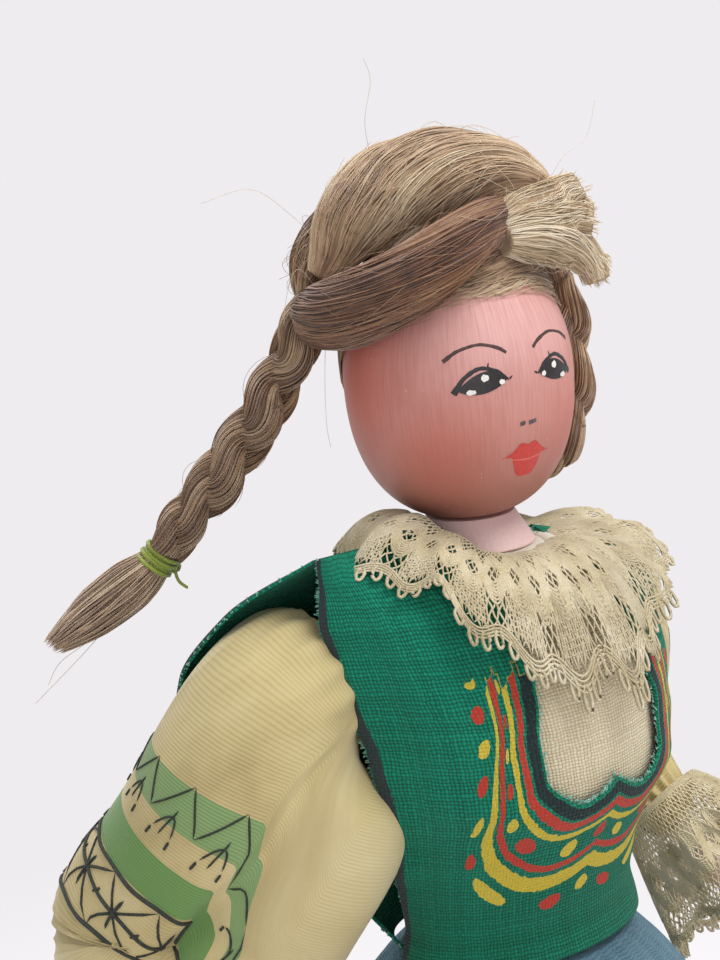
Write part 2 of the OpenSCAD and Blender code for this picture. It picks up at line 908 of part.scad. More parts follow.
module arm_wire_upper_right() { arm_wire_upper(0); }
module arm_padding_upper_right() { arm_padding_upper(0); }
module sleeve_right() { sleeve(0); }
module arm_wire_lower_right() { arm_wire_lower(0); }
module arm_padding_lower_right() { arm_padding_lower(0); }
module lace_cuff_right() { lace_cuff(0); }
module hand_right() { hand(0); }
module arm_wire_upper_left() { arm_wire_upper(1); }
module arm_padding_upper_left() { arm_padding_upper(1); }
module sleeve_left() { sleeve(1); }
module arm_wire_lower_left() { arm_wire_lower(1); }
module arm_padding_lower_left() { arm_padding_lower(1); }
module lace_cuff_left() { lace_cuff(1); }
module hand_left() { hand(1); }
module leg_wire_upper_right() { leg_wire_upper(0); }
module leg_padding_upper_right() { leg_padding_upper(0); }
module leg_wire_lower_right() { leg_wire_lower(0); }
module stocking_right() { stocking(0); }
module shoe_right() { shoe(0); }
module sole_right() { sole(0); }
module leg_wire_upper_left() { leg_wire_upper(1); }
module leg_padding_upper_left() { leg_padding_upper(1); }
module leg_wire_lower_left() { leg_wire_lower(1); }
module stocking_left() { stocking(1); }
module shoe_left() { shoe(1); }
module sole_left() { sole(1); }

spine_wire();
shoulder_wire();
hip_wire();
torso_padding();
neck();
chemise_front();
bodice_front();
bodice_back();
lace_collar();
waistband();
skirt();
head();
hair_cap();
hair_roll_top();
hair_roll_side();
hair_front_lock();
braid_left();
tie_left();
tassel_left();
braid_right();
tie_right();
tassel_right();
arm_wire_upper_right();
arm_padding_upper_right();
sleeve_right();
arm_wire_lower_right();
arm_padding_lower_right();
lace_cuff_right();
hand_right();
arm_wire_upper_left();
arm_padding_upper_left();
sleeve_left();
arm_wire_lower_left();
arm_padding_lower_left();
lace_cuff_left();
hand_left();
leg_wire_upper_right();
leg_padding_upper_right();
leg_wire_lower_right();
stocking_right();
shoe_right();
sole_right();
leg_wire_upper_left();
leg_padding_upper_left();
leg_wire_lower_left();
stocking_left();
shoe_left();
sole_left();
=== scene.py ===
"""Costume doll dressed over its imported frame: painted wooden head, yarn hair and braids, lace, bodice,
banded sleeves and gathered skirt. Shapes are worked out in millimetres and become metres in Blender."""

import math

import bpy
import numpy as np
from mathutils import Matrix, Vector


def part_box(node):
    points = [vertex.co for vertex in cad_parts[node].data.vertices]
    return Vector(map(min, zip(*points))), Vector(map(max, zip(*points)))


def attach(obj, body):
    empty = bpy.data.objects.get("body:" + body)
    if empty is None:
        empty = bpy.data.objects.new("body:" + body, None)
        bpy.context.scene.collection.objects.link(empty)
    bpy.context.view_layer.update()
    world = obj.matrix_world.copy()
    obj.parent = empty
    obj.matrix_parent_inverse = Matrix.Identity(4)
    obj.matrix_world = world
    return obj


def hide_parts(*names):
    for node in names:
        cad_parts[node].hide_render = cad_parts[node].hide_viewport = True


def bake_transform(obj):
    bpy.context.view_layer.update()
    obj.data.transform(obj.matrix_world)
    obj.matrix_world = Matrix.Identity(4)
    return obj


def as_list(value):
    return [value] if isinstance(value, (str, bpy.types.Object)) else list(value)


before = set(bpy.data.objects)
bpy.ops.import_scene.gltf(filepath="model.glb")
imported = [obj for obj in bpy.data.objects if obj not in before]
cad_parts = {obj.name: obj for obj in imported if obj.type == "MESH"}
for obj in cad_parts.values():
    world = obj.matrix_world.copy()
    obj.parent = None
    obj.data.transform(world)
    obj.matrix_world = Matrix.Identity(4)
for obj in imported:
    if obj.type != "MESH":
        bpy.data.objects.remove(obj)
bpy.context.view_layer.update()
MM = 0.001
rng = np.random.default_rng(11)

# Camera: where it stands round the head, and where the head shows in the 720 by 960 picture
VIEW_AZIMUTH, VIEW_ELEVATION, VIEW_ROLL = -40, 10, -5
VIEW_DISTANCE = 300
PICTURE_W, PICTURE_H = 720, 960
HEAD_PIXEL = (457.8, 371.5)
PIXELS_PER_MM = 7.52

# Head, as the wooden egg is turned
HEAD_CENTRE = np.array([0.0, 2.0, 219.0])
HEAD_TURN = 7
HEAD_R, HEAD_LOW, HEAD_TOP = 15.3, 19.4, 18.0
EGG_POWER = 2.4

# Torso levels: height, half width, half depth and set-back of the padding
TORSO = np.array([
    [128.5, 13.4, 10.9, 0], [134.4, 14.1, 11.5, 0], [146, 10.5, 9.3, 0], [152.2, 11.8, 10.6, -0.6],
    [159.1, 15.6, 14, -1.9], [166.5, 19.5, 17.5, -3.2], [175.5, 20.5, 17, -3], [182.1, 21.7, 15.2, -2.4],
    [187, 22, 13, -1.5], [191.5, 19.4, 10.7, -1], [194.2, 13.6, 8.8, -0.7], [196, 8.6, 7.7, -0.5],
])
WAIST_Z = 146

# The doll's own sides
SIDES = ("right", "left")


def unit(v):
    v = np.asarray(v, float)
    return v / np.maximum(np.linalg.norm(v, axis=-1, keepdims=True), 1e-9)


def smooth(x, lo, hi):
    """Goes from 0 at lo to 1 at hi, whichever is the greater."""
    t = np.clip((x - lo) / (hi - lo), 0, 1)
    return t * t * (3 - 2 * t)


def hump(x, centre, width, power=2):
    """1 at the centre, dying away beyond the width."""
    return np.exp(-(np.abs((x - centre) / width) ** power))


def stack(*parts):
    """Coordinates on a last axis, from parts that may differ in shape."""
    return np.stack(np.broadcast_arrays(*parts), -1)


def table(rows, cols):
    """Row and column values at each place of a grid."""
    return np.meshgrid(rows, cols, indexing="ij")


def circle(n):
    return 2 * np.pi * np.arange(n) / n


def ring(a, e, f):
    """Directions at angles a in the plane of e and f."""
    return np.cos(a)[..., None] * e + np.sin(a)[..., None] * f


def reach_along(path):
    """Distance along a path of each of its points."""
    return np.concatenate([[0], np.cumsum(np.linalg.norm(np.diff(path, axis=0), axis=1))])


def drawn(lo, hi, n):
    """One random number for each of n threads."""
    return rng.uniform(lo, hi, (n, 1))


def spline(xs, ys, x):
    """Smooth curve through (xs, ys) that doesn't overshoot its points."""
    xs, ys = np.asarray(xs, float), np.asarray(ys, float)
    h = np.diff(xs)
    d = np.diff(ys) / h
    same = d[1:] * d[:-1]
    m = np.concatenate([[d[0]], np.where(same > 0, 2 * same / (d[1:] + d[:-1] + 1e-12), 0), [d[-1]]])
    i = np.clip(np.searchsorted(xs, x, side="right") - 1, 0, len(xs) - 2)
    t = np.clip((x - xs[i]) / h[i], 0, 1)
    return (
        ys[i] * (2 * t**3 - 3 * t**2 + 1)
        + h[i] * m[i] * (t**3 - 2 * t**2 + t)
        + ys[i + 1] * (3 * t**2 - 2 * t**3)
        + h[i] * m[i + 1] * (t**3 - t**2)
    )


def columns(levels, x):
    """The further columns of a table, as smooth curves over its first."""
    return [spline(levels[:, 0], column, x) for column in levels.T[1:]]


def route(points, n):
    """n points on a smooth curve through the given points, evenly spaced."""
    p = np.asarray(points, float)
    q = np.vstack([2 * p[0] - p[1], p, 2 * p[-1] - p[-2]])
    t = np.linspace(0, len(p) - 1, 20 * len(p))
    i = np.minimum(t.astype(int), len(p) - 2)
    f = (t - i)[:, None]
    a, b, c, d = q[i], q[i + 1], q[i + 2], q[i + 3]
    fine = b + f * ((c - a) / 2 + f * ((a - 2.5 * b + 2 * c - d / 2) + f * (1.5 * (b - c) + (d - a) / 2)))
    run = reach_along(fine)
    s = np.linspace(0, run[-1], n)
    return np.stack([np.interp(s, run, fine[:, k]) for k in range(3)], 1)


def frames(path, up):
    """Heading of a path and two directions square to it, the first near up."""
    t = unit(np.gradient(path, axis=-2))
    e = unit(up - (up * t).sum(-1, keepdims=True) * t)
    return t, e, np.cross(t, e)


def head_place(p):
    """Points given on the head, face to -Y, in the frame of the doll."""
    x, y, z = np.moveaxis(np.asarray(p, float), -1, 0)
    c, s = math.cos(math.radians(HEAD_TURN)), math.sin(math.radians(HEAD_TURN))
    return np.stack([x * c + y * s, -x * s + y * c, z], -1) + HEAD_CENTRE


def egg_r(z):
    low = np.clip(1 - (np.abs(z) / HEAD_LOW) ** EGG_POWER, 0, 1) ** (1 / EGG_POWER)
    high = np.sqrt(np.clip(1 - (z / HEAD_TOP) ** 2, 0, 1))
    return HEAD_R * np.where(z < 0, low, high)


def egg_point(turn, z, lift=0.0):
    """Point of the egg at an angle from the middle of the face, in degrees, and a height on the head."""
    a = np.radians(turn)
    r = egg_r(z) + lift
    return head_place(stack(r * np.sin(a), -r * np.cos(a), z))


def torso_point(z, a, grow):
    """Point of the padded torso at a height and an angle, grown outwards."""
    w, d, y = columns(TORSO, np.clip(z, TORSO[0, 0], TORSO[-1, 0]))
    a = np.radians(a)
    return stack((w + grow) * np.cos(a), y + (d + grow) * np.sin(a), z)


# Edges of cloth that turn by more than this stay crisp
RIM_ANGLE = math.radians(60)


class Piece:
    """Collects the points and faces of one visual piece, with its materials and cloth coordinates."""

    def __init__(self, name):
        self.name = name
        self.points, self.faces, self.slots, self.cloth, self.trim, self.materials = ([] for _ in range(6))
        self.count = 0
        self.crisp = False

    def add(self, points, faces, material, cloth=None, trim=None):
        points = np.asarray(points, float).reshape(-1, 3)
        if material not in self.materials:
            self.materials.append(material)
        faces = np.asarray(faces)
        self.faces.append(faces + self.count)
        self.slots.append(np.full(len(faces), self.materials.index(material)))
        self.points.append(points)
        for store, given in ((self.cloth, cloth), (self.trim, trim)):
            given = np.zeros_like(points) if given is None else np.asarray(given, float)
            store.append(given.reshape(-1, 3))
        self.count += len(points)

    def build(self):
        mesh = bpy.data.meshes.new(self.name)
        points = np.concatenate(self.points) * MM
        corners = np.concatenate([f.ravel() for f in self.faces])
        sizes = np.concatenate([np.full(len(f), f.shape[1]) for f in self.faces])
        starts = np.concatenate([[0], np.cumsum(sizes)[:-1]])
        mesh.vertices.add(len(points))
        mesh.vertices.foreach_set("co", points.ravel())
        mesh.loops.add(len(corners))
        mesh.loops.foreach_set("vertex_index", corners.astype(np.int32))
        mesh.polygons.add(len(sizes))
        mesh.polygons.foreach_set("loop_start", starts.astype(np.int32))
        mesh.polygons.foreach_set("material_index", np.concatenate(self.slots).astype(np.int32))
        mesh.polygons.foreach_set("use_smooth", np.ones(len(sizes), bool))
        for key, store in (("cloth", self.cloth), ("trim", self.trim)):
            layer = mesh.attributes.new(key, "FLOAT_VECTOR", "POINT")
            layer.data.foreach_set("vector", np.concatenate(store).astype(np.float32).ravel())
        for material in self.materials:
            mesh.materials.append(material)
        mesh.update(calc_edges=True)
        mesh.validate()
        if self.crisp:
            mesh.set_sharp_from_angle(angle=RIM_ANGLE)
        return link(bpy.data.objects.new(self.name, mesh))


def link(made):
    bpy.context.collection.objects.link(made)
    return made


def grid_faces(rows, cols, wrap=False):
    i, j = table(np.arange(rows - 1), np.arange(cols if wrap else cols - 1))
    k = (j + 1) % cols
    return np.stack([i * cols + j, i * cols + k, (i + 1) * cols + k, (i + 1) * cols + j], -1).reshape(-1, 4)


def grid_normals(grid, wrap):
    across = np.roll(grid, -1, 1) - np.roll(grid, 1, 1) if wrap else np.gradient(grid, axis=1)
    return unit(np.cross(across, np.gradient(grid, axis=0)))


def add_cloth(piece, grid, material, cloth, trim=None, thick=0.35, wrap=False):
    """Cloth with two faces and hemmed rims, from a grid of points on its outside."""
    rows, cols = grid.shape[:2]
    inner = grid - thick * grid_normals(grid, wrap)
    n = rows * cols
    faces = grid_faces(rows, cols, wrap)
    ids = np.arange(n).reshape(rows, cols)
    rims = [ids[0][::-1], ids[-1]]
    if not wrap:
        rims += [ids[:, 0], ids[::-1, -1]]
    strips = []
    for rim in rims:
        a, b = (rim, np.roll(rim, -1)) if wrap else (rim[:-1], rim[1:])
        strips.append(np.stack([b, a, a + n, b + n], -1))
    both = [None if x is None else np.concatenate([x.reshape(-1, 3)] * 2) for x in (cloth, trim)]
    points = np.concatenate([grid.reshape(-1, 3), inner.reshape(-1, 3)])
    piece.add(points, np.concatenate([faces, faces[:, ::-1] + n, *strips]), material, *both)
    piece.crisp = True


# A direction that hardly any thread runs along, and the share of its radius left at a thread's ends
TUBE_UP, TUBE_TIP = np.array([0.31, 0.23, 0.92]), 0.01


def add_tubes(piece, paths, radius, material, shade=0.5, sides=3):
    """Thin tubes along many paths of equal length, closed to a point at both ends."""
    many, steps = paths.shape[:2]
    _, e, f = frames(paths, TUBE_UP)
    radius = np.broadcast_to(np.asarray(radius, float), (many, steps)).copy()
    radius[:, [0, -1]] *= TUBE_TIP
    rings = ring(circle(sides), e[:, :, None], f[:, :, None])
    points = paths[:, :, None] + radius[:, :, None, None] * rings
    one = grid_faces(steps, sides, True)
    faces = (one[None] + (np.arange(many) * steps * sides)[:, None, None]).reshape(-1, 4)
    shade = np.broadcast_to(np.asarray(shade, float).reshape(-1, 1), (many, steps))
    cloth = stack(shade, np.linspace(0, 1, steps), 0.0)[:, :, None].repeat(sides, 2)
    piece.add(points, faces, material, cloth)


def add_loft(piece, rings, material, cloth):
    """Closed body through rings of points."""
    rows, cols = rings.shape[:2]
    piece.add(rings, grid_faces(rows, cols, True), material, cloth)
    j = np.arange(cols)
    fan = stack(j, (j + 1) % cols, cols)
    for row, step in ((0, -1), (-1, 1)):
        points, tint = (np.vstack([v[row], v[row].mean(0)]) for v in (rings, cloth))
        piece.add(points, fan[:, ::step], material, tint)


def rgb(code):
    """Linear colour of a written hex colour."""
    parts = [int(code[k : k + 2], 16) / 255 for k in (1, 3, 5)]
    return (*[x / 12.92 if x <= 0.04045 else ((x + 0.055) / 1.055) ** 2.4 for x in parts], 1.0)


class Value:
    """Output of a node, to be reckoned with like a number."""

    def __init__(self, paint, socket):
        self.paint, self.socket = paint, socket

    def __add__(self, other):
        return self.paint.math("ADD", self, other)

    def __sub__(self, other):
        return self.paint.math("SUBTRACT", self, other)

    def __mul__(self, other):
        return self.paint.math("MULTIPLY", self, other)

    def __truediv__(self, other):
        return self.paint.math("DIVIDE", self, other)


class Paint:
    """The nodes of a material, or of the world, written as expressions."""

    def __init__(self, name, kind=bpy.data.materials, shader="Principled BSDF"):
        self.owner = kind.new(name)
        self.owner.use_nodes = True
        self.tree = self.owner.node_tree
        self.shader = self.tree.nodes[shader]

    def put(self, socket, value):
        if isinstance(value, Value):
            self.tree.links.new(value.socket, socket)
        elif value is not None:
            socket.default_value = value

    def node(self, kind, *values, out=0, inputs=None, **settings):
        """Output of a new node; values fill its inputs in order, and inputs fills those it names."""
        made = self.tree.nodes.new("ShaderNode" + kind)
        for key, value in settings.items():
            setattr(made, key, value)
        for key, value in (*enumerate(values), *(inputs or {}).items()):
            self.put(made.inputs[key], value)
        return Value(self, made.outputs[out])

    def math(self, operation, *values):
        return self.node("Math", *values, operation=operation)

    def mix(self, share, a, b):
        return self.node("Mix", out=2, inputs={0: share, 6: a, 7: b}, data_type="RGBA")

    def split(self, vector):
        return [Value(self, part) for part in self.node("SeparateXYZ", vector).socket.node.outputs]

    def attribute(self, name):
        return self.split(self.node("Attribute", out="Vector", attribute_name=name))

    def place(self):
        """Where a point lies on the piece, in millimetres."""
        metres = self.node("TexCoord", out="Object")
        return self.node("VectorMath", metres, inputs={"Scale": 1 / MM}, operation="SCALE")

    def vector(self, x, y, z=0.0):
        return self.node("CombineXYZ", x, y, z)

    def noise(self, place, scale, detail=3.0, rough=0.5):
        inputs = {"Vector": place, "Scale": scale, "Detail": detail, "Roughness": rough}
        return self.node("TexNoise", inputs=inputs)

    def range(self, value, lo, hi, out_lo=0.0, out_hi=1.0):
        return self.node("MapRange", value, lo, hi, out_lo, out_hi)

    def inside(self, value, lo, hi):
        return self.math("GREATER_THAN", value, lo) * self.math("LESS_THAN", value, hi)

    def ramp(self, share, *stops):
        made = self.node("ValToRGB", share)
        parts = made.socket.node.color_ramp.elements
        while len(parts) < len(stops):
            parts.new(0.5)
        for part, (at, colour) in zip(parts, stops):
            part.position, part.color = at, rgb(colour)
        return made

    def bump(self, height, distance):
        return self.node("Bump", inputs={"Strength": 1.0, "Distance": distance * MM, "Height": height})

    def finish(self, colour, bump=None, **sockets):
        self.put(self.shader.inputs["Base Color"], colour)
        self.put(self.shader.inputs["Normal"], bump)
        for key, value in sockets.items():
            self.put(self.shader.inputs[key.replace("_", " ")], value)
        return self.owner

    def cover(self, share, over, output):
        """Another shader shows where the share is 1."""
        both = self.node("MixShader", share, Value(self, self.shader.outputs[0]), over)
        self.put(self.tree.nodes[output].inputs["Surface"], both)

    def weave(self, x, y, pitch):
        """Height of a plain weave, and a number that differs from thread to thread."""
        x, y = x / pitch, y / pitch
        ix, iy = self.math("FLOOR", x), self.math("FLOOR", y)
        odd = self.math("FLOORED_MODULO", ix + iy, 2.0)

        def rise(v):
            f = self.math("FRACT", v) * 2.0 - 1.0
            return f * f * -1.0 + 1.0

        px, py = rise(x), rise(y)
        warp, weft = px * (py * 0.55 + 0.45), py * (px * 0.55 + 0.45)
        thread = odd * 31.7 + (odd * (ix - iy) + iy)
        speckle = self.node("TexWhiteNoise", inputs={"W": thread}, noise_dimensions="1D")
        return odd * (warp - weft) + weft, speckle


def wobbly(p, x, y, amount, scale):
    """Cloth coordinates with slightly uneven threads."""
    dx = p.noise(p.vector(x, y), scale, 1.0) * amount - amount / 2
    dy = p.noise(p.vector(y, x, 9.0), scale, 1.0) * amount - amount / 2
    return x + dx, y + dy


def woven(name, pitch, dark, mid, light, depth=0.12, soil=0.25, sheen=0.25):
    """Plain woven cloth, uneven from thread to thread."""
    p = Paint(name)
    x, y, _ = p.attribute("cloth")
    height, thread = p.weave(*wobbly(p, x, y, 0.5, 0.6), pitch)
    worn = p.noise(p.vector(x, y, 3.0), 0.09, 4.0)
    # The hollows between the threads are painted darker than the raised threads: painted shade
    tone = thread * 0.22 + height * 0.62 + worn * soil + (0.08 - soil / 2)
    colour = p.ramp(tone, (0.12, dark), (0.5, mid), (0.92, light))
    fuzz = p.noise(p.vector(x, y, 7.0), 6.0, 2.0)
    sockets = dict(Roughness=0.9, Sheen_Weight=sheen, Sheen_Roughness=0.6, Specular_IOR_Level=0.2)
    return p, colour, p.bump(fuzz * 0.25 + height, depth), sockets


def plain_cloth(*settings):
    p, colour, bump, sockets = woven(*settings)
    return p.finish(colour, bump, **sockets)


def yarn(name, dark, mid, light):
    """Combed yarn fibres: the shade of each fibre comes with the mesh."""
    p = Paint(name)
    shade = p.attribute("cloth")[0]
    streak = p.noise(p.place(), 0.35, 4.0, 0.6)
    colour = p.ramp(shade * 0.75 + streak * 0.5 - 0.12, (0.1, dark), (0.5, mid), (0.9, light))
    fine = p.noise(p.place(), 9.0, 2.0)
    return p.finish(colour, p.bump(fine, 0.03), Roughness=0.62, Sheen_Weight=0.3, Specular_IOR_Level=0.3)


def grooved_yarn(name, dark, mid, light):
    """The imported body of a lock: its cloth coordinates run round it and along it."""
    p = Paint(name)
    x, y, _ = p.attribute("cloth")
    lines = p.noise(p.vector(x * 5.0, y * 0.12), 1.0, 4.0, 0.7)
    broad = p.noise(p.vector(x * 0.6, y * 0.06, 4.0), 1.0, 3.0)
    colour = p.ramp(lines * 0.75 + broad * 0.7 - 0.32, (0.2, dark), (0.5, mid), (0.8, light))
    return p.finish(colour, p.bump(lines, 0.35), Roughness=0.66, Sheen_Weight=0.3, Specular_IOR_Level=0.25)


def hair(name, body, fibre):
    """Materials of a lock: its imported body, and the fibres laid over it."""
    return grooved_yarn(name + "_body", *body), yarn(name + "_fibre", *fibre)


def flat_paint(name, code, worn, roughness):
    """Brush paint that lets a little of what is under it through."""
    p = Paint(name)
    grain = p.noise(p.place(), 2.2, 4.0, 0.65)
    colour = p.mix(p.range(grain, 0.35, 0.75), rgb(code), rgb(worn))
    return p.finish(colour, p.bump(grain, 0.02), Roughness=roughness)


def wire_metal():
    p = Paint("drawn_wire")
    marks = p.noise(p.place(), 3.0, 3.0)
    colour = p.ramp(marks, (0.3, "#5d5c5a"), (0.6, "#8d8d8c"), (0.8, "#a7a6a2"))
    return p.finish(colour, p.bump(marks, 0.02), Metallic=1.0, Roughness=0.42)


def wood_skin():
    """Flesh paint on turned wood: fine upright grain, blushed cheeks, a paler brow and a chin darkened
    partly by the paint's own tone and partly as painted shade.
    """
    p = Paint("painted_head")
    x, y, _ = p.attribute("cloth")
    grain = p.noise(p.vector(x * 3.4, y * 0.16), 1.0, 4.0, 0.6)
    patch = p.noise(p.vector(x, y, 5.0), 0.16, 3.0)
    colour = rgb("#cf958b")
    # Shares of blush on the cheeks, of a paler brow, and of a darker chin that is partly painted shade
    for share, code in zip(p.attribute("trim"), ("#c4604c", "#e8b6b1", "#8e5a46")):
        colour = p.mix(p.range(share, 0.0, 1.0), colour, rgb(code))
    worn = p.range(grain * 0.7 + patch * 0.3, 0.42, 0.66, 0.0, 0.38)
    colour = p.mix(worn, colour, rgb("#a8655a"))
    scuff = p.math("GREATER_THAN", p.noise(p.vector(x, y * 0.5, 8.0), 1.1, 4.0, 0.7), 0.71)
    colour = p.mix(scuff * 0.5, colour, rgb("#e6bcae"))
    return p.finish(colour, p.bump(grain, 0.04), Roughness=0.5, Specular_IOR_Level=0.3)


def lace_thread():
    p = Paint("lace_thread")
    soil = p.noise(p.place(), 0.22, 4.0)
    twist = p.noise(p.place(), 5.0, 2.0)
    colour = p.ramp(twist * 0.45 + soil * 0.6, (0.3, "#a2906c"), (0.52, "#cdbf9c"), (0.75, "#e6dcc2"))
    return p.finish(colour, p.bump(twist, 0.05), Roughness=0.92, Sheen_Weight=0.2, Specular_IOR_Level=0.15)


# Neckline trim: inner and outer edge of each printed line, measured out from the edge of the scoop,
# then step, place and radius of the dots and of the marks between the lines
TRIM_BLACK, TRIM_RED, TRIM_YELLOW, DOT_YELLOW = "#22262a", "#c63a2c", "#d9bf3c", "#dcc344"
TRIM_LINES = (
    (0.35, 2.1, TRIM_BLACK), (2.6, 3.5, TRIM_RED), (3.95, 4.75, TRIM_YELLOW),
    (7.4, 8.4, TRIM_RED), (8.9, 10.4, TRIM_YELLOW),
)
TRIM_DOTS = ((3.3, 12.6, 0.85), (3.6, 6.1, 0.8))
# Painted shade: the cloth is darkened from one height down to the other, towards the waist, by at most this
# share
PAINTED_SHADE_FROM, PAINTED_SHADE_TO, PAINTED_SHADE_MOST = 170, 146, 0.32


def bodice_cloth():
    p, colour, bump, sockets = woven(
        "bodice_green", 0.5, "#014330", "#03785d", "#149876", depth=0.16, soil=0.18, sheen=0.06
    )
    x, y, edge = p.attribute("cloth")
    far, along, _ = p.attribute("trim")
    # Painted shade: the green darkens towards the waist
    shade = p.range(p.split(p.place())[2], PAINTED_SHADE_FROM, PAINTED_SHADE_TO, 0.0, PAINTED_SHADE_MOST)
    colour = p.mix(shade, colour, rgb("#0b3f22"))
    rough = p.noise(p.vector(x, y, 2.0), 1.6, 2.0) * 0.5 - 0.25
    far = far + rough
    cover = p.range(p.noise(p.vector(x, y, 6.0), 3.0, 2.0), 0.25, 0.45, 0.55, 0.95)
    for lo, hi, code in TRIM_LINES:
        colour = p.mix(p.inside(far, lo, hi) * cover, colour, rgb(code))
    for step, at, radius in TRIM_DOTS:
        place = along / step
        side = p.math("FRACT", place) * step - step / 2
        out = far - at
        mark = p.math("LESS_THAN", p.math("SQRT", side * side + out * out), radius) * cover
        odd = p.math("FLOORED_MODULO", p.math("FLOOR", place), 2.0)
        colour = p.mix(mark, colour, p.mix(odd, rgb(DOT_YELLOW), rgb(TRIM_RED)))
    colour = p.mix(p.inside(edge + rough, 0.15, 1.6) * 0.9, colour, rgb("#34343c"))
    return p.finish(colour, bump, **sockets)


# Sleeve bands, measured along the sleeve from the shoulder, and the pitch of its ribs and threads
SLEEVE_BANDS = ((19.6, 25.2, "#7fa068"), (29.6, 35.2, "#659351"))
RIB_PITCH, THREAD_PITCH = 0.42, 0.34


def sleeve_cloth():
    """Ribbed cream cotton with printed green bands; ribs run round the sleeve."""
    p = Paint("sleeve_cotton")
    x, y, _ = p.attribute("cloth")
    wx, wy = wobbly(p, x, y, 0.16, 0.3)
    rib, cross = (
        p.math("ABSOLUTE", p.math("SINE", v * (math.pi / pitch)))
        for v, pitch in ((wy, RIB_PITCH), (wx, THREAD_PITCH))
    )
    soil = p.noise(p.vector(x, y, 4.0), 0.07, 4.0)
    # The hollows between the ribs are painted darker, in the cream and, through shadow, in the printed
    # bands: painted shade
    colour = p.ramp(rib * 0.13 + soil * 0.85, (0.15, "#93804f"), (0.5, "#cbb986"), (0.85, "#dfd2a8"))
    shadow = p.range(rib, 0.0, 0.7, 0.6, 1.0)
    for lo, hi, code in SLEEVE_BANDS:
        colour = p.mix(p.inside(wy, lo, hi) * 0.92, colour, p.mix(shadow, rgb("#31562f"), rgb(code)))
    bump = p.bump(cross * 0.22 + rib, 0.032)
    return p.finish(colour, bump, Roughness=0.88, Sheen_Weight=0.2, Specular_IOR_Level=0.2)


def leather_paint(name, dark, mid, light):
    p = Paint(name)
    grain = p.noise(p.place(), 1.4, 5.0, 0.6)
    cell = p.node("TexVoronoi", out="Distance", inputs={"Vector": p.place(), "Scale": 1.8})
    colour = p.ramp(grain, (0.3, dark), (0.55, mid), (0.8, light))
    return p.finish(colour, p.bump(cell, 0.06), Roughness=0.45)


# Width of the strips of cotton wound on the wires
STRIP_W = 3.2


def wound_cotton():
    """Strips of cotton wound on at a slant."""
    p = Paint("wound_strips")
    x, y, _ = p.attribute("cloth")
    slant = x * 0.22 + y
    strip = p.math("FRACT", slant / STRIP_W)
    fibre = p.noise(p.vector(x * 0.8, slant * 6.0), 1.0, 3.0)
    height = p.math("POWER", strip, 0.4) + fibre * 0.4
    colour = p.ramp(height, (0.2, "#a99c80"), (0.7, "#d9cfb8"), (1.0, "#eee7d6"))
    return p.finish(colour, p.bump(height, 0.3), Roughness=0.92, Sheen_Weight=0.25)


HAIR = hair("hair", ("#46291d", "#86664b", "#b4936f"), ("#5f4030", "#a17f60", "#cdb391"))
PALE_HAIR = hair("pale_hair", ("#97785a", "#ceb18a", "#ead6b5"), ("#b39873", "#dfc8a5", "#f6ead4"))
# The top roll's yarn is given lighter tones as painted light from above, and the side roll's darker tones
# as painted shade
LIT_TOP_HAIR = hair("top_hair", ("#5c3c2a", "#b1906c", "#d8b892"), ("#7a5a45", "#cfae8a", "#eddab9"))
SHADED_SIDE_HAIR = hair("side_hair", ("#2c140a", "#6b4229", "#986b47"), ("#3f2014", "#8a5f43", "#b58b66"))
TASSEL_HAIR = hair("tassel", ("#6d523c", "#a3836a", "#c9ab8b"), ("#84674f", "#b8997b", "#dcc5a6"))
THREAD = yarn("tie_thread", "#4d5a1e", "#8c9a3a", "#c3c766")
FRAY = yarn("green_fray", "#2f7d63", "#6fb59c", "#b4dfce")
LACE = lace_thread()
WOOD_SKIN = wood_skin()
PALE_SKIN = flat_paint("pale_skin", "#f3d3d0", "#ebc4bf", 0.55)
BODICE = bodice_cloth()
SLEEVE = sleeve_cloth()
CHEMISE = plain_cloth("chemise_linen", 0.42, "#b19b75", "#d5c6a3", "#ece0c6")
SKIRT = plain_cloth("skirt_blue", 0.4, "#274a5c", "#48758a", "#6d97a9", 0.1)
INK = flat_paint("print_black", "#1d211c", "#3d4438", 0.8)
EYE_BLACK = flat_paint("eye_black", "#141011", "#2c2526", 0.3)
EYE_WHITE = flat_paint("eye_white", "#f4f1ea", "#ddd5cc", 0.3)
BROW_BROWN = flat_paint("brow_brown", "#2e1c1b", "#5f3f3b", 0.5)
NOSE_GREY = flat_paint("nose_grey", "#463b40", "#715a5c", 0.5)
LIP_RED = flat_paint("lip_red", "#c3271c", "#d2402f", 0.35)
LIP_LINE = flat_paint("lip_line", "#e07a66", "#cf5c4c", 0.4)
WIRE = wire_metal()
WOUND = wound_cotton()
SHOE = leather_paint("shoe_black", "#0f0e0d", "#25221f", "#4a443d")
SOLE = leather_paint("sole_leather", "#2d1d12", "#553a25", "#7a5837")


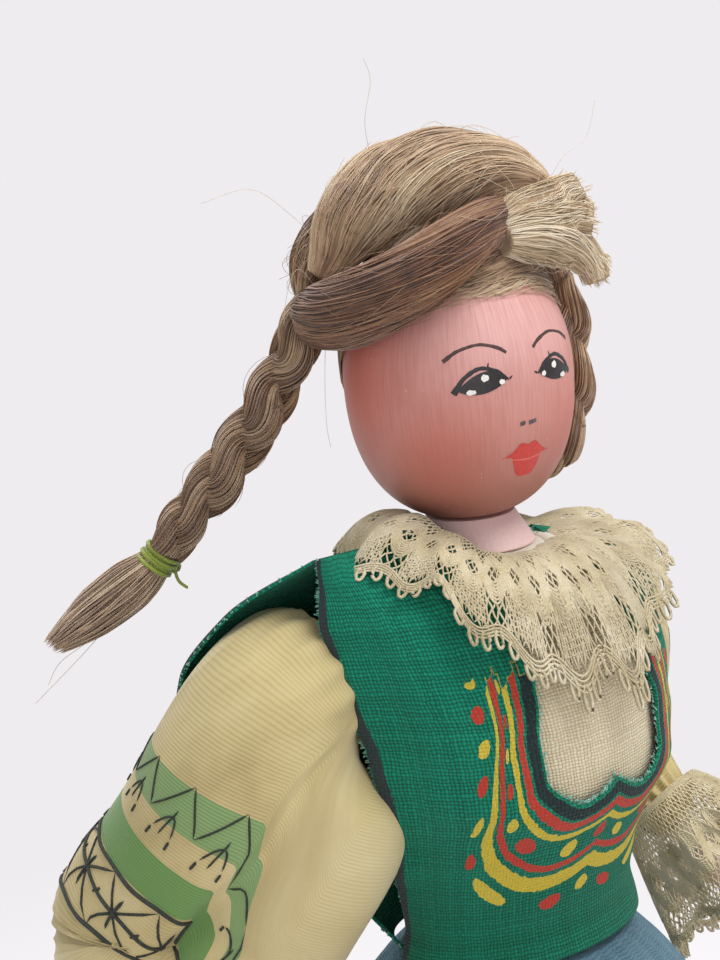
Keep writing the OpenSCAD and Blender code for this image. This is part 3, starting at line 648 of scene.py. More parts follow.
def make_camera():
    a, e, roll = (math.radians(v) for v in (VIEW_AZIMUTH, VIEW_ELEVATION, VIEW_ROLL))
    back = np.array([math.sin(a) * math.cos(e), -math.cos(a) * math.cos(e), math.sin(e)])
    level = np.array([math.cos(a), math.sin(a), 0])
    rise = np.cross(back, level)
    right = math.cos(roll) * level + math.sin(roll) * rise
    up = math.cos(roll) * rise - math.sin(roll) * level
    aside = (PICTURE_W / 2 - HEAD_PIXEL[0]) / PIXELS_PER_MM
    above = (HEAD_PIXEL[1] - PICTURE_H / 2) / PIXELS_PER_MM
    eye = HEAD_CENTRE + VIEW_DISTANCE * back
    look = unit(HEAD_CENTRE + aside * right + above * up - eye)
    x = unit(np.cross(look, up))
    camera = link(bpy.data.objects.new("camera", bpy.data.cameras.new("camera")))
    camera.data.lens = PIXELS_PER_MM * VIEW_DISTANCE / PICTURE_H * camera.data.sensor_width
    camera.data.clip_start = 0.01
    camera.rotation_mode = "QUATERNION"
    camera.rotation_quaternion = Matrix((x, np.cross(x, look), -look)).transposed().to_quaternion()
    camera.location = Vector(eye * MM)
    bpy.context.scene.camera = camera


# Stage: light of the surround; half side of the floor in metres, and distances at which it fades into the
# backdrop in millimetres
BACKDROP, SKY, SKY_STRENGTH = "#efecef", (0.93, 0.94, 0.97, 1), 0.5
FLOOR_HALF, FADE_FROM, FADE_TO = 3.0, 120.0, 420.0
# Lamps: name, place, aim and size in metres, and watts
LAMPS = (
    ("key_lamp", (0.2, -0.35, 1.1), (0, 0, 0.2), 0.6, 8.5),
    ("fill_lamp", (-0.5, -0.8, 0.35), (0, 0, 0.18), 0.8, 1.5),
    ("back_lamp", (0.2, 0.7, 0.8), (0, 0, 0.2), 0.6, 3.2),
)


def make_stage():
    """Pale floor, soft lamps and a nearly white surround."""
    p = Paint("pale_floor")
    tint = p.noise(p.place(), 0.01, 2.0)
    material = p.finish(p.ramp(tint, (0.3, "#eeeaeb"), (0.7, "#f6f3f4")), Roughness=0.8)
    far = p.range(p.node("VectorMath", p.place(), out="Value", operation="LENGTH"), FADE_FROM, FADE_TO)
    seen = far * p.node("LightPath", out="Is Camera Ray")
    p.cover(seen, p.node("Emission", rgb(BACKDROP)), "Material Output")
    mesh = bpy.data.meshes.new("floor")
    corners = [(x * FLOOR_HALF, y * FLOOR_HALF, 0) for x, y in ((-1, -1), (1, -1), (1, 1), (-1, 1))]
    mesh.from_pydata(corners, [], [(0, 1, 2, 3)])
    mesh.materials.append(material)
    link(bpy.data.objects.new("floor", mesh))
    w = Paint("studio", bpy.data.worlds, "Background")
    w.put(w.shader.inputs["Color"], SKY)
    w.put(w.shader.inputs["Strength"], SKY_STRENGTH)
    rays = ("Is Camera Ray", "Is Glossy Ray")
    seen = w.math("MAXIMUM", *(w.node("LightPath", out=kind) for kind in rays))
    w.cover(seen, w.node("Background", rgb(BACKDROP)), "World Output")
    bpy.context.scene.world = w.owner
    for name, place, aim, size, watts in LAMPS:
        lamp = link(bpy.data.objects.new(name, bpy.data.lights.new(name, "AREA")))
        lamp.data.size, lamp.data.energy = size, watts
        lamp.location = place
        lamp.rotation_euler = (Vector(aim) - Vector(place)).to_track_quat("-Z", "Y").to_euler()


make_camera()
make_stage()
bpy.context.scene.view_settings.view_transform = "Standard"


def hang(piece, body, slot, *nodes):
    """The finished piece rides on a body and hides the CAD nodes it stands for; given two bodies instead,
    it is only baked in place.
    """
    made = piece.build()
    if isinstance(body, str):
        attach(made, body)
    else:
        above, below, start, stop = body
        Vector(start * MM)
        Vector(stop * MM)
        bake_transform(made)
    if nodes:
        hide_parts(*nodes)
    return made


def lay(piece, width, length, held, rests_on, area=1.0):
    """Works out a piece of cloth's flat length and area from its size in millimetres and the share of it
    that is cloth, and what it rests on; the results are not kept.
    """
    length * MM
    area * width * length * MM * MM
    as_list(rests_on)


def make_head():
    p = Piece("wooden_head")
    z = np.concatenate([
        -HEAD_LOW * np.sin(np.radians(np.linspace(76, 0, 44))) ** (2 / EGG_POWER),
        HEAD_TOP * np.sin(np.radians(np.linspace(2, 89, 40))),
    ])
    zz, tt = table(z, np.linspace(-180, 180, 145)[:-1])
    side = np.abs(tt)
    cheek = np.maximum(
        0.7 * hump(side, 46, 34) * hump(zz, -9, 7.5), 0.75 * hump(side, 95, 36) * hump(zz, 3, 13)
    )
    brow = 0.9 * hump(tt, 0, 42) * hump(zz, 8, 6.5)
    add_loft(p, egg_point(tt, zz), WOOD_SKIN, stack(np.radians(tt) * HEAD_R, zz, 0.0))
    # The third share darkens the chin: partly the paint's own tone, partly painted shade
    p.trim[0] = stack(cheek, brow, 0.75 * smooth(-zz, 4, 19)).reshape(-1, 3)
    hang(p, "head", "painted_wood", "head")


# How far a coat of paint stands off the wood, for the coats one over another
FACE_LIFT, LASH_LIFT, LIP_LIFT, GLINT_LIFT = 0.05, 0.08, 0.09, 0.12


def add_patch(piece, turns, low, high, material, lift=FACE_LIFT, rows=5):
    """Paint between a lower and an upper line on the face."""
    share = np.linspace(0, 1, rows)[:, None]
    z = low * (1 - share) + high * share
    piece.add(egg_point(turns + 0 * z, z, lift), grid_faces(rows, z.shape[1]), material)


def add_stroke(piece, turns, heights, widths, material, lift=FACE_LIFT, n=32):
    """Brush stroke along points of the face, thicker where the brush was pressed."""
    k = np.linspace(0, 1, len(turns))
    s = np.linspace(0, 1, n)
    t, z, w = (spline(k, v, s) for v in (turns, heights, widths))
    w = w * (1 + 0.12 * np.sin(37 * s + 9 * t))
    flat = stack(np.radians(t) * HEAD_R, z)
    d = unit(np.gradient(flat, axis=0))
    side = stack(-d[:, 1], d[:, 0]) * w[:, None] / 2
    rows = []
    for f in (-1, -0.5, 0, 0.5, 1):
        x, y = (flat + f * side).T
        rows.append(egg_point(np.degrees(x / HEAD_R), y, lift * (1 - 0.7 * f * f)))
    piece.add(np.stack(rows), grid_faces(5, n), material)


# Half of the face: the strokes as angles from its middle, heights and widths, then the glints of the eye
# as angle, height, width and height of the dab
BROW = ((8, 12, 22, 32, 40), (4.3, 5.0, 5.7, 5.2, 4.0), (0.4, 0.5, 0.36, 0.42, 0.6))
LID = ((8.5, 14, 22, 30, 36), (0.9, 2.15, 2.75, 1.8, -0.2), (0.2, 0.42, 0.5, 0.6, 0.8))
LASHES = (((18.5, 18.0), (2.8, 3.35), (0.24, 0.1)), ((8, 6.4), (1.0, 1.3), (0.35, 0.1)))
GLINTS = ((20.5, 1.5, 1.05, 0.9), (27.6, -0.15, 1.3, 0.66), (12.2, 0.75, 0.8, 0.66))
NOSTRILS = ((-3.8, -0.8), (1.2, 5.8))
# Lips: angle of their middle, half width as an angle, height of the line between them, and the share of the
# half width that the lower lip takes
LIP_TURN, LIP_HALF, LIP_Z, LOWER_LIP = 1.5, 15, -9.7, 0.6


def make_face():
    """Painted face, nearly the same on both sides of its middle."""
    p = Piece("painted_face")
    for s in (-1, 1):

        def stroke(line, material, *more):
            add_stroke(p, s * np.array(line[0]), *line[1:], material, *more)

        stroke(BROW, BROW_BROWN)
        t = np.linspace(0, 1, 25)
        top = 0.9 + 1.75 * np.sin(math.pi * t**0.85) ** 0.75 - 0.8 * t
        low = 0.9 - 1.1 * np.sin(math.pi * t) ** 0.7 - 0.8 * t
        add_patch(p, s * (9.5 + 24.5 * t), low + 0.1, top, EYE_BLACK)
        stroke(LID, EYE_BLACK, LASH_LIFT)
        for lash in LASHES:
            stroke(lash, EYE_BLACK, LASH_LIFT, 8)
        a = np.linspace(-1, 1, 15)
        for turn, z, w, h in GLINTS:
            rise = 0.5 * h * np.sqrt(np.clip(1 - a * a, 0, 1)) * (1 + 0.15 * np.sin(5 * a))
            turns = s * (turn + np.degrees(a * w / 2 / HEAD_R))
            add_patch(p, turns, z - rise, z + rise, EYE_WHITE, GLINT_LIFT, 4)
    for turns in NOSTRILS:
        add_stroke(p, turns, [-5.2, -5.05], [0.6, 0.55], NOSE_GREY, n=10)
    t = np.linspace(-1, 1, 41)
    top = -8.1 - 1.5 * np.abs(t) ** 1.4 + 0.6 * hump(np.abs(t), 0.3, 0.2)
    add_patch(p, LIP_TURN + LIP_HALF * t, LIP_Z - 0.3 * np.cos(3 * t), top, LIP_RED)
    t = np.linspace(-LOWER_LIP, LOWER_LIP, 31)
    low = LIP_Z - 2.7 * np.clip(1 - (np.abs(t) / LOWER_LIP) ** 4.5, 0, 1)
    add_patch(p, LIP_TURN + LIP_HALF * t, low, LIP_Z + 0.05 + 0 * t, LIP_RED)
    add_stroke(p, [-8, LIP_TURN, 11], [-9.85, -10.1, -9.75], [0.15, 0.25, 0.15], LIP_LINE, LIP_LIFT)
    hang(p, "head", "painted_wood")


make_head()
make_face()


# Loose fibres: one for so many laid ones, how far they stand off the lock, and their radius
LOOSE_SHARE, LOOSE_LIFT, LOOSE_THICK = 6, 1.5, 0.035
LOCK_SIDES = 44


def lock_path(stations, n):
    """Centre line, radius and outward direction of a lock, from places on the head and radii."""
    s = np.asarray(stations, float)
    path = head_place(route(s[:, :3], n))
    return path, spline(np.linspace(0, 1, len(s)), s[:, 3], np.linspace(0, 1, n)), path - HEAD_CENTRE


def add_lock(piece, path, radius, up, twist, fibres, stuff, spread=0.06, thick=0.1, sway=0.12):
    """A combed lock: a grooved body with fibres laid over it, turning by twist along its length."""
    body, fibre = stuff
    _, e, f = frames(path, up)
    s = np.linspace(0, 1, len(path))
    a = circle(LOCK_SIDES)
    turned = 2 * np.pi * twist * s
    groove = 1 + 0.045 * np.sin(7 * a + 1.3) + 0.03 * np.sin(13 * a + 4) + 0.02 * np.sin(23 * a)
    points = path[:, None] + (radius[:, None] * groove)[..., None] * ring(
        a + turned[:, None], e[:, None], f[:, None]
    )
    add_loft(piece, points, body, stack(a * radius.max(), reach_along(path)[:, None], 0.0))
    a = drawn(0, 2 * np.pi, fibres)
    waves = np.sin(2 * np.pi * (s * drawn(0.6, 1.8, fibres) + drawn(0, 1, fibres)))
    out = 1.0 + spread * drawn(-0.5, 1.3, fibres) + 0.03 * np.sin(9 * s + 6 * a)
    paths = path + (radius * out)[..., None] * ring(a + turned + sway * waves, e, f)
    shade = np.clip(0.5 + 0.2 * np.sin(3 * a[:, 0]) + rng.normal(0, 0.16, fibres), 0, 1)
    add_tubes(piece, paths, thick * drawn(0.7, 1.3, fibres), fibre, shade)
    add_loose(piece, path, radius, e, f, twist, fibres // LOOSE_SHARE, fibre)


def add_loose(piece, path, radius, e, f, twist, count, fibre):
    """Fine fibres that have worked out of a lock: some loop back to it, the others end in the air."""
    u = np.linspace(0, 1, 16)
    share = drawn(0.14, 0.7, count) + drawn(0.08, 0.26, count) * u
    index = share * (len(path) - 1)
    low = np.minimum(index.astype(int), len(path) - 2)
    part = (index - low)[..., None]
    centre, r, aside, above = (
        v[low] * (1 - part) + v[low + 1] * part for v in (path, radius[:, None], e, f)
    )
    free = drawn(0, 1, count) < 0.4
    lift = LOOSE_LIFT * drawn(0.2, 1, count) * np.where(free, 1.4 * u**2, np.sin(np.pi * u))
    a = drawn(0, 2 * np.pi, count) + 2 * np.pi * twist * share + rng.normal(0, 0.5, (count, 1)) * u
    paths = centre + (r + lift[..., None]) * ring(a, aside, above)
    add_tubes(piece, paths, LOOSE_THICK, fibre, rng.uniform(0.4, 1, count))


def add_strays(piece, paths, thick):
    for k, points in enumerate(paths):
        add_tubes(piece, route(points, 40)[None], thick, PALE_HAIR[1], 0.3 + 0.15 * (k % 4))


def add_brush(piece, path, radius, up, fibres=170):
    """Cut ends of a lock, splaying a little past its tip."""
    k = len(path) - 9
    t, e, f = (v[k] for v in frames(path, up))
    a = drawn(0, 2 * np.pi, fibres)
    out = np.sqrt(drawn(0, 1, fibres)) * radius[k]
    s = np.linspace(0, 1, 12)
    reach = drawn(2.2, 4.6, fibres) * (1.15 - 0.45 * out / radius[k])
    wide = out * (1.0 + 0.12 * s * s) + 0.25 * np.sin(2.5 * s + 9 * a) * s
    droop = (s * s * drawn(-0.3, 0.9, fibres))[..., None] * np.array([0, 0, -1.0])
    paths = path[k] + (reach * s - 0.6)[..., None] * t + droop + wide[..., None] * ring(a, e, f)
    add_tubes(piece, paths, 0.08, PALE_HAIR[1], rng.uniform(0.3, 1, fibres))


# Locks: places on the head, face to -Y, and radii
TOP_ROLL = [
    [-14.8, 8.6, 14.4, 1.6], [-13.4, 7.8, 16.6, 3.8], [-10.2, 6.2, 21, 5.6], [-5, 4, 24, 6.4],
    [1, 0.6, 25.6, 6.2], [6.4, -2.8, 25.6, 5.2], [10.2, -5.2, 24.2, 3.6], [12, -6.4, 22.6, 1.2],
]
SIDE_ROLL = [
    [-15.2, 10.8, 9.6, 1.8], [-16.7, 6.6, 9.6, 4], [-16.9, -1.6, 10.8, 4.5], [-13.4, -7.8, 13.6, 4.3],
    [-8.2, -10, 16.4, 4], [-2, -8.9, 19, 3.4], [4.4, -5.6, 20.4, 2.8], [8.6, -3.6, 21.8, 1.4],
]
ROOT_LOCK = [[-10, 9.4, 20, 4.2], [-12.6, 11.6, 16.6, 3.8], [-13.8, 12.6, 13, 2.8], [-13.4, 13, 10, 1.2]]
TEMPLE_LOCK = [[8, 3, 19.6, 2], [13, 2.6, 17, 2.8], [16.6, 1.6, 13.4, 2.7], [18.2, 0.8, 9.8, 1.6]]
FRONT_TUFTS = (
    [[2.4, -8, 19, 1.8], [8.6, -7, 20.2, 3.2], [12.8, -7.6, 21.4, 3.1], [15.6, -9, 22.8, 2]],
    [[2.2, -8.8, 18.4, 1.8], [9, -7.8, 18.6, 3.5], [13.5, -8.5, 18.7, 3.5], [16.2, -10, 18.2, 2.4]],
    [
        [2.4, -9.4, 17.6, 1.8], [8.8, -9, 17, 3.1], [13.2, -9, 15.4, 3.2], [15.6, -10, 12.8, 2.4],
        [16.2, -10.6, 10.4, 1.4],
    ],
)
# Stray hairs over the head, as places on it
TOP_STRAYS = np.array([
    [[-8, 4, 29], [-9, 3, 34], [-7, 4, 39], [-7.5, 4.5, 42]],
    [[-14, 8, 18], [-18, 9, 23], [-24, 8, 27], [-31, 9, 26]],
    [[-15, 8, 12], [-19, 7, 16], [-21, 8, 9], [-17, 9, 5]],
    [[12, -7, 24], [14, -8, 27], [17, -9, 29], [19, -9, 34]],
    [[2, -6.4, 29], [4, -10.5, 24], [-1, -12.5, 21], [-6, -12, 22]],
    [[-4, -2.5, 29], [1, -7.4, 26], [7, -9, 22.6], [10, -8, 25]],
    [[-16, 6, 8], [-18, 4, 2], [-19, 3, -4], [-17, 6, -8]],
])
# Hair cap: rows and columns of its mesh, its fibres, and the fine hairs at the brow
CAP_ROWS, CAP_COLS, CAP_FIBRES, BROW_HAIRS = 40, 180, 1300, 60


def cap_point(t, share, lift):
    """Point of the hair cap at an angle from the face, and a share of the way from hairline to crown."""
    hairline = 6.6 + 6.0 * hump(t, -6, 62, 4) - 15 * smooth(np.abs(t), 100, 165)
    start = np.arcsin(np.clip(hairline / HEAD_TOP, -1, 1))
    up = start + (np.pi / 2 - start) * share
    lift = lift + 1.8 * smooth(share, 0.35, 0.8)
    z = np.where(up < 0, HEAD_LOW * np.sin(up), (HEAD_TOP + lift) * np.sin(up))
    r = np.where(up < 0, egg_r(z) + lift, (HEAD_R + lift) * np.cos(up))
    a = np.radians(t)
    return head_place(stack(r * np.sin(a), -r * np.cos(a), z))


def make_cap():
    cap = Piece("hair_cap_combed")
    body, fibre = HAIR
    ss, tt = table(np.linspace(0, 1, CAP_ROWS), np.linspace(-180, 180, CAP_COLS + 1)[:-1])
    lift = 0.1 + 0.9 * smooth(ss, 0, 0.3) + 0.12 * np.sin(np.radians(tt) * 40 + 5 * ss)
    faces = grid_faces(CAP_ROWS, CAP_COLS, True)
    cap.add(cap_point(tt, ss, lift), faces, body, stack(tt * 0.27, ss * 25, 0.0))
    n = CAP_FIBRES
    t0 = drawn(-180, 180, n)
    s = np.linspace(0, 1, 26)
    rise = np.clip(drawn(-0.05, 0.5, n) + s**1.6 * drawn(0.15, 0.6, n), -0.05, 0.97)
    sweep = 75 * hump(t0, -10, 95, 4) + 12
    lift = 0.2 + 0.95 * smooth(rise, 0, 0.3) + drawn(0, 0.3, n)
    shade = np.clip(rng.normal(0.42, 0.2, n), 0, 1)
    add_tubes(cap, cap_point(t0 + sweep * (s - 0.4), rise, lift), 0.1, fibre, shade)
    n = BROW_HAIRS
    t0 = drawn(-40, 40, n)
    rise = drawn(-0.16, -0.02, n) + 0.1 * np.sin(np.pi * s) * drawn(-1, 0.5, n) + 0.12 * s
    wisps = cap_point(t0 + 40 * (s - 0.3), rise, 0.25 + 0.2 * s)
    add_tubes(cap, wisps, 0.05, PALE_HAIR[1], rng.uniform(0, 0.6, n))
    add_lock(cap, *lock_path(TEMPLE_LOCK, 40), 0.15, 200, HAIR)
    hang(cap, "head", "hair", "hair_cap")


def make_rolls():
    top = Piece("hair_top_roll")
    add_lock(top, *lock_path(TOP_ROLL, 70), -0.36, 700, LIT_TOP_HAIR)
    add_lock(top, *lock_path(ROOT_LOCK, 40), 0.1, 260, HAIR)
    add_strays(top, [head_place(p) for p in TOP_STRAYS], 0.035)
    hang(top, "head", "hair", "hair_roll_top")
    side = Piece("hair_side_roll")
    add_lock(side, *lock_path(SIDE_ROLL, 60), 0.3, 480, SHADED_SIDE_HAIR)
    hang(side, "head", "hair", "hair_roll_side")
    front = Piece("hair_pale_lock")
    for stations in FRONT_TUFTS:
        path, radius, up = lock_path(stations, 44)
        add_lock(front, path, radius, up, 0.12, 210, PALE_HAIR, spread=0.08, thick=0.09, sway=0.08)
        add_brush(front, path, radius, up)
    hang(front, "head", "hair", "hair_front_lock")


make_cap()
make_rolls()

# Braid: length of one round of crossings, and of one turn of the fibres in a strand
BRAID_PITCH, BRAID_TWIST = 25, 34


def add_braid(piece, path, up, swing, rise, strand, fibres):
    """Three combed strands that cross over and under each other along a path."""
    run = reach_along(path)
    _, e, f = frames(path, up)
    ends = smooth(run, -4, 8) * (1 - 0.5 * smooth(run, run[-1] - 6, run[-1]))
    for k in range(3):
        a = 2 * np.pi * (run / BRAID_PITCH + k / 3) + 0.35 * np.sin(run / 9 + 2.1 * k)
        side, over = (swing * np.sin(a))[:, None] * e, (rise * np.sin(2 * a))[:, None] * f
        radius = strand * (0.7 + 0.3 * ends) * (1 + 0.1 * np.cos(2 * a + k) + 0.06 * np.sin(run / 3 + k))
        centre = path + ends[:, None] * (side + over)
        add_lock(piece, centre, radius, up, run[-1] / BRAID_TWIST, fibres, HAIR, spread=0.14, thick=0.11)


def square_to(along):
    """Two directions square to the end of a braid."""
    e = unit(np.cross(along, (0.2, 0.9, 0.3)))
    return e, np.cross(along, e)


# Tie: width and radius of its winding, its turns, and the sides of its thread
TIE_W, TIE_R, TIE_TURNS, TIE_SIDES = 2.6, 2.3, 6, 5


def add_tie(piece, at, along):
    """Thread wound round a braid, with a knot and two loose ends."""
    e, f = square_to(along)
    s = np.linspace(0, 1, 220)
    r = TIE_R + 0.25 * np.sin(23 * s)
    coil = at + (TIE_W * s)[:, None] * along + r[:, None] * ring(2 * np.pi * TIE_TURNS * s, e, f)
    add_tubes(piece, coil[None], 0.3, THREAD, 0.5, TIE_SIDES)
    knot = at + 0.5 * TIE_W * along + (TIE_R + 0.5) * e
    for turn in (0.0, 1.1, 2.2):
        side = math.cos(turn) * f + math.sin(turn) * along
        loop = knot + 0.75 * ring(np.linspace(0, 2 * np.pi, 26), side, e)
        add_tubes(piece, loop[None], 0.28, THREAD, 0.35 + 0.2 * turn, TIE_SIDES)
    for lean, reach in ((-0.8, 4.2), (0.7, 3.4)):
        tip = knot + reach * (0.7 * e + lean * f + 0.35 * along)
        end = route([knot, knot + 0.5 * (tip - knot) + 0.6 * along, tip], 20)
        add_tubes(piece, end[None], 0.24, THREAD, 0.6, TIE_SIDES)


# Tassel: its length, and its radii at shares of it
TASSEL_LEN = 17
TASSEL_STAGES, TASSEL_RADII = [0, 0.12, 0.4, 0.7, 1], [1.6, 2.3, 3.3, 3.0, 1.5]


def add_tassel(piece, at, along, fibres, bend):
    """Loose ends of a braid below its tie."""
    e, f = square_to(along)
    s = np.linspace(0, 1, 22)
    shape = spline(TASSEL_STAGES, TASSEL_RADII, s)
    a = drawn(0, 2 * np.pi, fibres)
    depth = np.sqrt(drawn(0.3, 1.1, fibres))
    length = TASSEL_LEN * drawn(0.78, 1.06, fibres)
    a = a + 0.5 * s * rng.normal(0, 0.5, (fibres, 1))
    droop = (s**1.5)[:, None] * np.asarray(bend, float)
    paths = at + (length * s)[..., None] * along + droop + (shape * depth)[..., None] * ring(a, e, f)
    thick = 0.11 * drawn(0.7, 1.3, fibres)
    add_tubes(piece, paths, thick, TASSEL_HAIR[1], rng.uniform(0.1, 1, fibres))
    core = at + (0.9 * TASSEL_LEN * s)[:, None] * along + droop
    add_lock(piece, core, 0.75 * shape, e, 0.1, 10, TASSEL_HAIR, spread=0.05, thick=0.13)


# Braid routes: the right one from its root on the head, the left one in the frame of the doll
RIGHT_ROOT = np.append((HEAD_R + 3) * unit([-2, 1]), 11.6)
RIGHT_ROUTE = np.array([
    [0, 0, 0], [-2.7, 1.8, -6.2], [-6.2, 4.1, -13], [-10.5, 6.8, -20], [-15, 9.8, -26.2],
    [-19.4, 12.5, -32],
])
LEFT_ROOT = np.array([HEAD_R + 3.6, 1.1, 219])
LEFT_ROUTE = np.array([
    [-0.3, 0, 10], [0.9, 0, 0], [-0.2, 0.4, -9], [-2, 1.4, -14], [-3.6, 6.4, -16.4], [-5, 13, -18.2],
    [-5.6, 18.8, -23], [-5.9, 21.8, -31], [-5.9, 22.2, -37],
])
# Point of the left braid's route passed on with its two bodies; the braid is baked in place and doesn't
# follow the head
LEFT_HELD = 45
# Stray hairs of the right tassel: place across, place out and place along it
TASSEL_STRAYS = np.array([
    [[0, 0, 12], [-2, 1, 17], [-5, 2, 20], [-7, 4, 26]],
    [[0, 1, 10], [-3, 2, 15], [-2, 5, 19], [-6, 4, 23]],
])


def make_braid(side, path, up, strands, fibres, bend, strays=()):
    """A braid with its tie and tassel; strands gives swing, rise, radius and fibres of each."""
    braid, tie, tassel = (Piece(side + part) for part in ("_braid", "_tie", "_tassel"))
    tip = path[-1]
    along = unit(tip - path[-4])
    add_braid(braid, path, np.array(up), *strands)
    add_tie(tie, tip + 0.2 * along, along)
    add_tassel(tassel, tip + 0.6 * along, along, fibres, bend)
    level = np.cross(along, (0, 0, 1))
    for stray in strays:
        x, y, z = stray.T[..., None]
        add_strays(tassel, [tip + z * along + x * level * 0.4 + y * np.array([-0.5, 0.4, 0])], 0.045)
    body = "braid_right" if side == "right" else ("torso", "head", tip, path[LEFT_HELD])
    parts = ((braid, "hair", "braid_"), (tie, "thread", "tie_"), (tassel, "hair", "tassel_"))
    for piece, slot, node in parts:
        hang(piece, body, slot, node + side)


make_braid(
    "right", route(head_place(RIGHT_ROOT + RIGHT_ROUTE), 110), (-0.6, -0.7, 0.3),
    (1.9, 1.1, 2.0, 130), 520, (-3.4, 2.9, 1.5), TASSEL_STRAYS,
)
make_braid(
    "left", route(LEFT_ROOT + LEFT_ROUTE, 150), (0.7, -0.7, 0.1), (1.5, 0.9, 1.55, 90), 260, (0, 0, 0)
)

# Bodice form: height, half width, half depth and set-back; it closes along the shoulder seams at the top
HEM_Z, CHEST_Z, SEAM_Z = 141.4, 187, 199
FORM = np.array([
    [141, 19.2, 14.6, 0], [146, 18.4, 13.6, 0], [152, 18.8, 14.2, -0.6], [159, 20, 16.4, -1.9],
    [166.5, 21.8, 19.6, -3.2], [175.5, 22.8, 19.1, -3], [182, 23.9, 17.3, -2.4],
    [CHEST_Z, 24.6, 15.1, -1.5], [191.5, 25.6, 12.4, -1], [194.5, 26.4, 9.2, -0.6], [197, 27, 5.2, -0.2],
    [SEAM_Z, 27.3, 0.6, 0],
])
# Shoulders: slope of both, drop of the left one, and half width
SHOULDER_SLOPE, LEFT_SHOULDER_DROP, SHOULDER_HALF = -0.03, 0.8, 27
# Mean radius at which the cloth is laid out flat, then flare of the armholes and their angle from the front
UNROLL_R = 19.5
ARMHOLE_FLARE, ARMHOLE_TURN = 2.6, 97


def form_point(a, z, grow=0.0):
    """Point of the bodice at an angle from the front, positive to the doll's left, and a height."""
    w, d, y = columns(FORM, z)
    r = np.radians(a)
    side = np.abs(a)
    flare = ARMHOLE_FLARE * smooth(side, 72, ARMHOLE_TURN) * smooth(z, 147, 158) * smooth(z, SEAM_Z, 190)
    lift = grow + np.where(side > ARMHOLE_TURN + 0.5, 0, flare)
    x = (w + lift) * np.sin(r)
    slope = SHOULDER_SLOPE * np.abs(x) * smooth(z, CHEST_Z, SEAM_Z)
    drop = LEFT_SHOULDER_DROP * np.maximum(x / SHOULDER_HALF, 0) * np.clip(z - CHEST_Z, 0, None)
    return stack(x, y - (d + lift) * np.cos(r), z - slope - drop)


# Half of the neckline and of the panel's outer edge, as place along it, angle from the front and height;
# the outer edge turns from the armhole to the hem at the corner
NECKLINE = np.array([
    [0, 17.5, SEAM_Z], [0.1, 18, 195], [0.22, 19, 190], [0.36, 21, 184], [0.46, 23.5, 180], [0.58, 27, 175],
    [0.7, 27, 170], [0.79, 20.5, 166.6], [0.86, 14, 165.4], [0.94, 6, 166.3], [1, 0, 167.8],
])
CORNER = 0.79
OUTER_EDGE = np.array([
    [0, 90, SEAM_Z], [0.1, 92, 196], [0.22, 94, 190], [0.36, 93, 181], [0.46, 90, 173], [0.58, 88, 162],
    [0.7, 91, 150], [CORNER, 94, HEM_Z], [0.82, 66, HEM_Z], [0.87, 34, HEM_Z], [0.94, 13, HEM_Z],
    [1, 0, HEM_Z],
])


def edge_line(edge, t):
    return stack(*columns(edge, t))


def unroll(az):
    return stack(np.radians(az[..., 0]) * UNROLL_R, az[..., 1])


def away(flat, line):
    """Distance of unrolled points from a line, and how far along the line the nearest place is."""
    gap = np.linalg.norm(flat[..., None, :] - line, axis=-1)
    return gap.min(-1), reach_along(line)[gap.argmin(-1)]


# Where each trim line starts and ends at the sides and bottom of the scoop, and on the printed scale
TRIM_SIDE = [0, 0.35, 1.9, 2.25, 3.05, 3.45, 4.25, 4.8, 5.5, 5.65, 6.0, 7.4, 30]
TRIM_BOTTOM = [0, 0.5, 2.0, 2.4, 3.8, 4.7, 5.7, 9.6, 10.6, 11.6, 14.0, 16.0, 40]
TRIM_SCALE = [0, 0.35, 2.1, 2.6, 3.5, 3.95, 4.75, 7.4, 8.4, 8.9, 10.4, 12.6, 30]
# Where the trim starts on the neckline, a place on the scale past all print, and a shift of the dots
TRIM_START, UNPRINTED, DOT_SHIFT = 0.36, 29.0, 200


def trim_place(far, low):
    """Distance from the scoop on the printed scale; low goes from 0 at the sides to 1 at the bottom."""
    placed = np.zeros_like(far)
    edges = [side + (bottom - side) * low for side, bottom in zip(TRIM_SIDE, TRIM_BOTTOM)]
    for a, b, size in zip(edges, edges[1:], np.diff(TRIM_SCALE)):
        placed += np.clip((far - a) / np.maximum(b - a, 1e-6), 0, 1) * size
    return placed


def add_fray(piece, edge, inward, count, length=0.9):
    """Short loose threads along a cut edge."""
    k = rng.integers(1, len(edge) - 1, count)
    lean = unit(edge[k + 1] - edge[k - 1]) * rng.normal(0, 0.5, (count, 1))
    reach = length * drawn(0.4, 1.2, count)
    out = unit(edge[k] - inward[k] + 0.4 * lean)
    start = edge[k] - 0.2 * out
    s = np.linspace(0, 1, 5)[None, :, None]
    curl = 0.15 * np.sin(3 * s) * rng.normal(0, 1, (count, 1, 3))
    paths = start[:, None] + s * (reach * out)[:, None] + curl
    add_tubes(piece, paths, 0.09, FRAY, rng.uniform(0.2, 1, count))


BODICE_THICK, BODICE_FLAT = 0.4, (80, 58)
# Fray: its place against the cloth's face, and the rows of the panel that end at the armhole
FRAY_GROW, ARMHOLE_ROWS = -0.1, 108


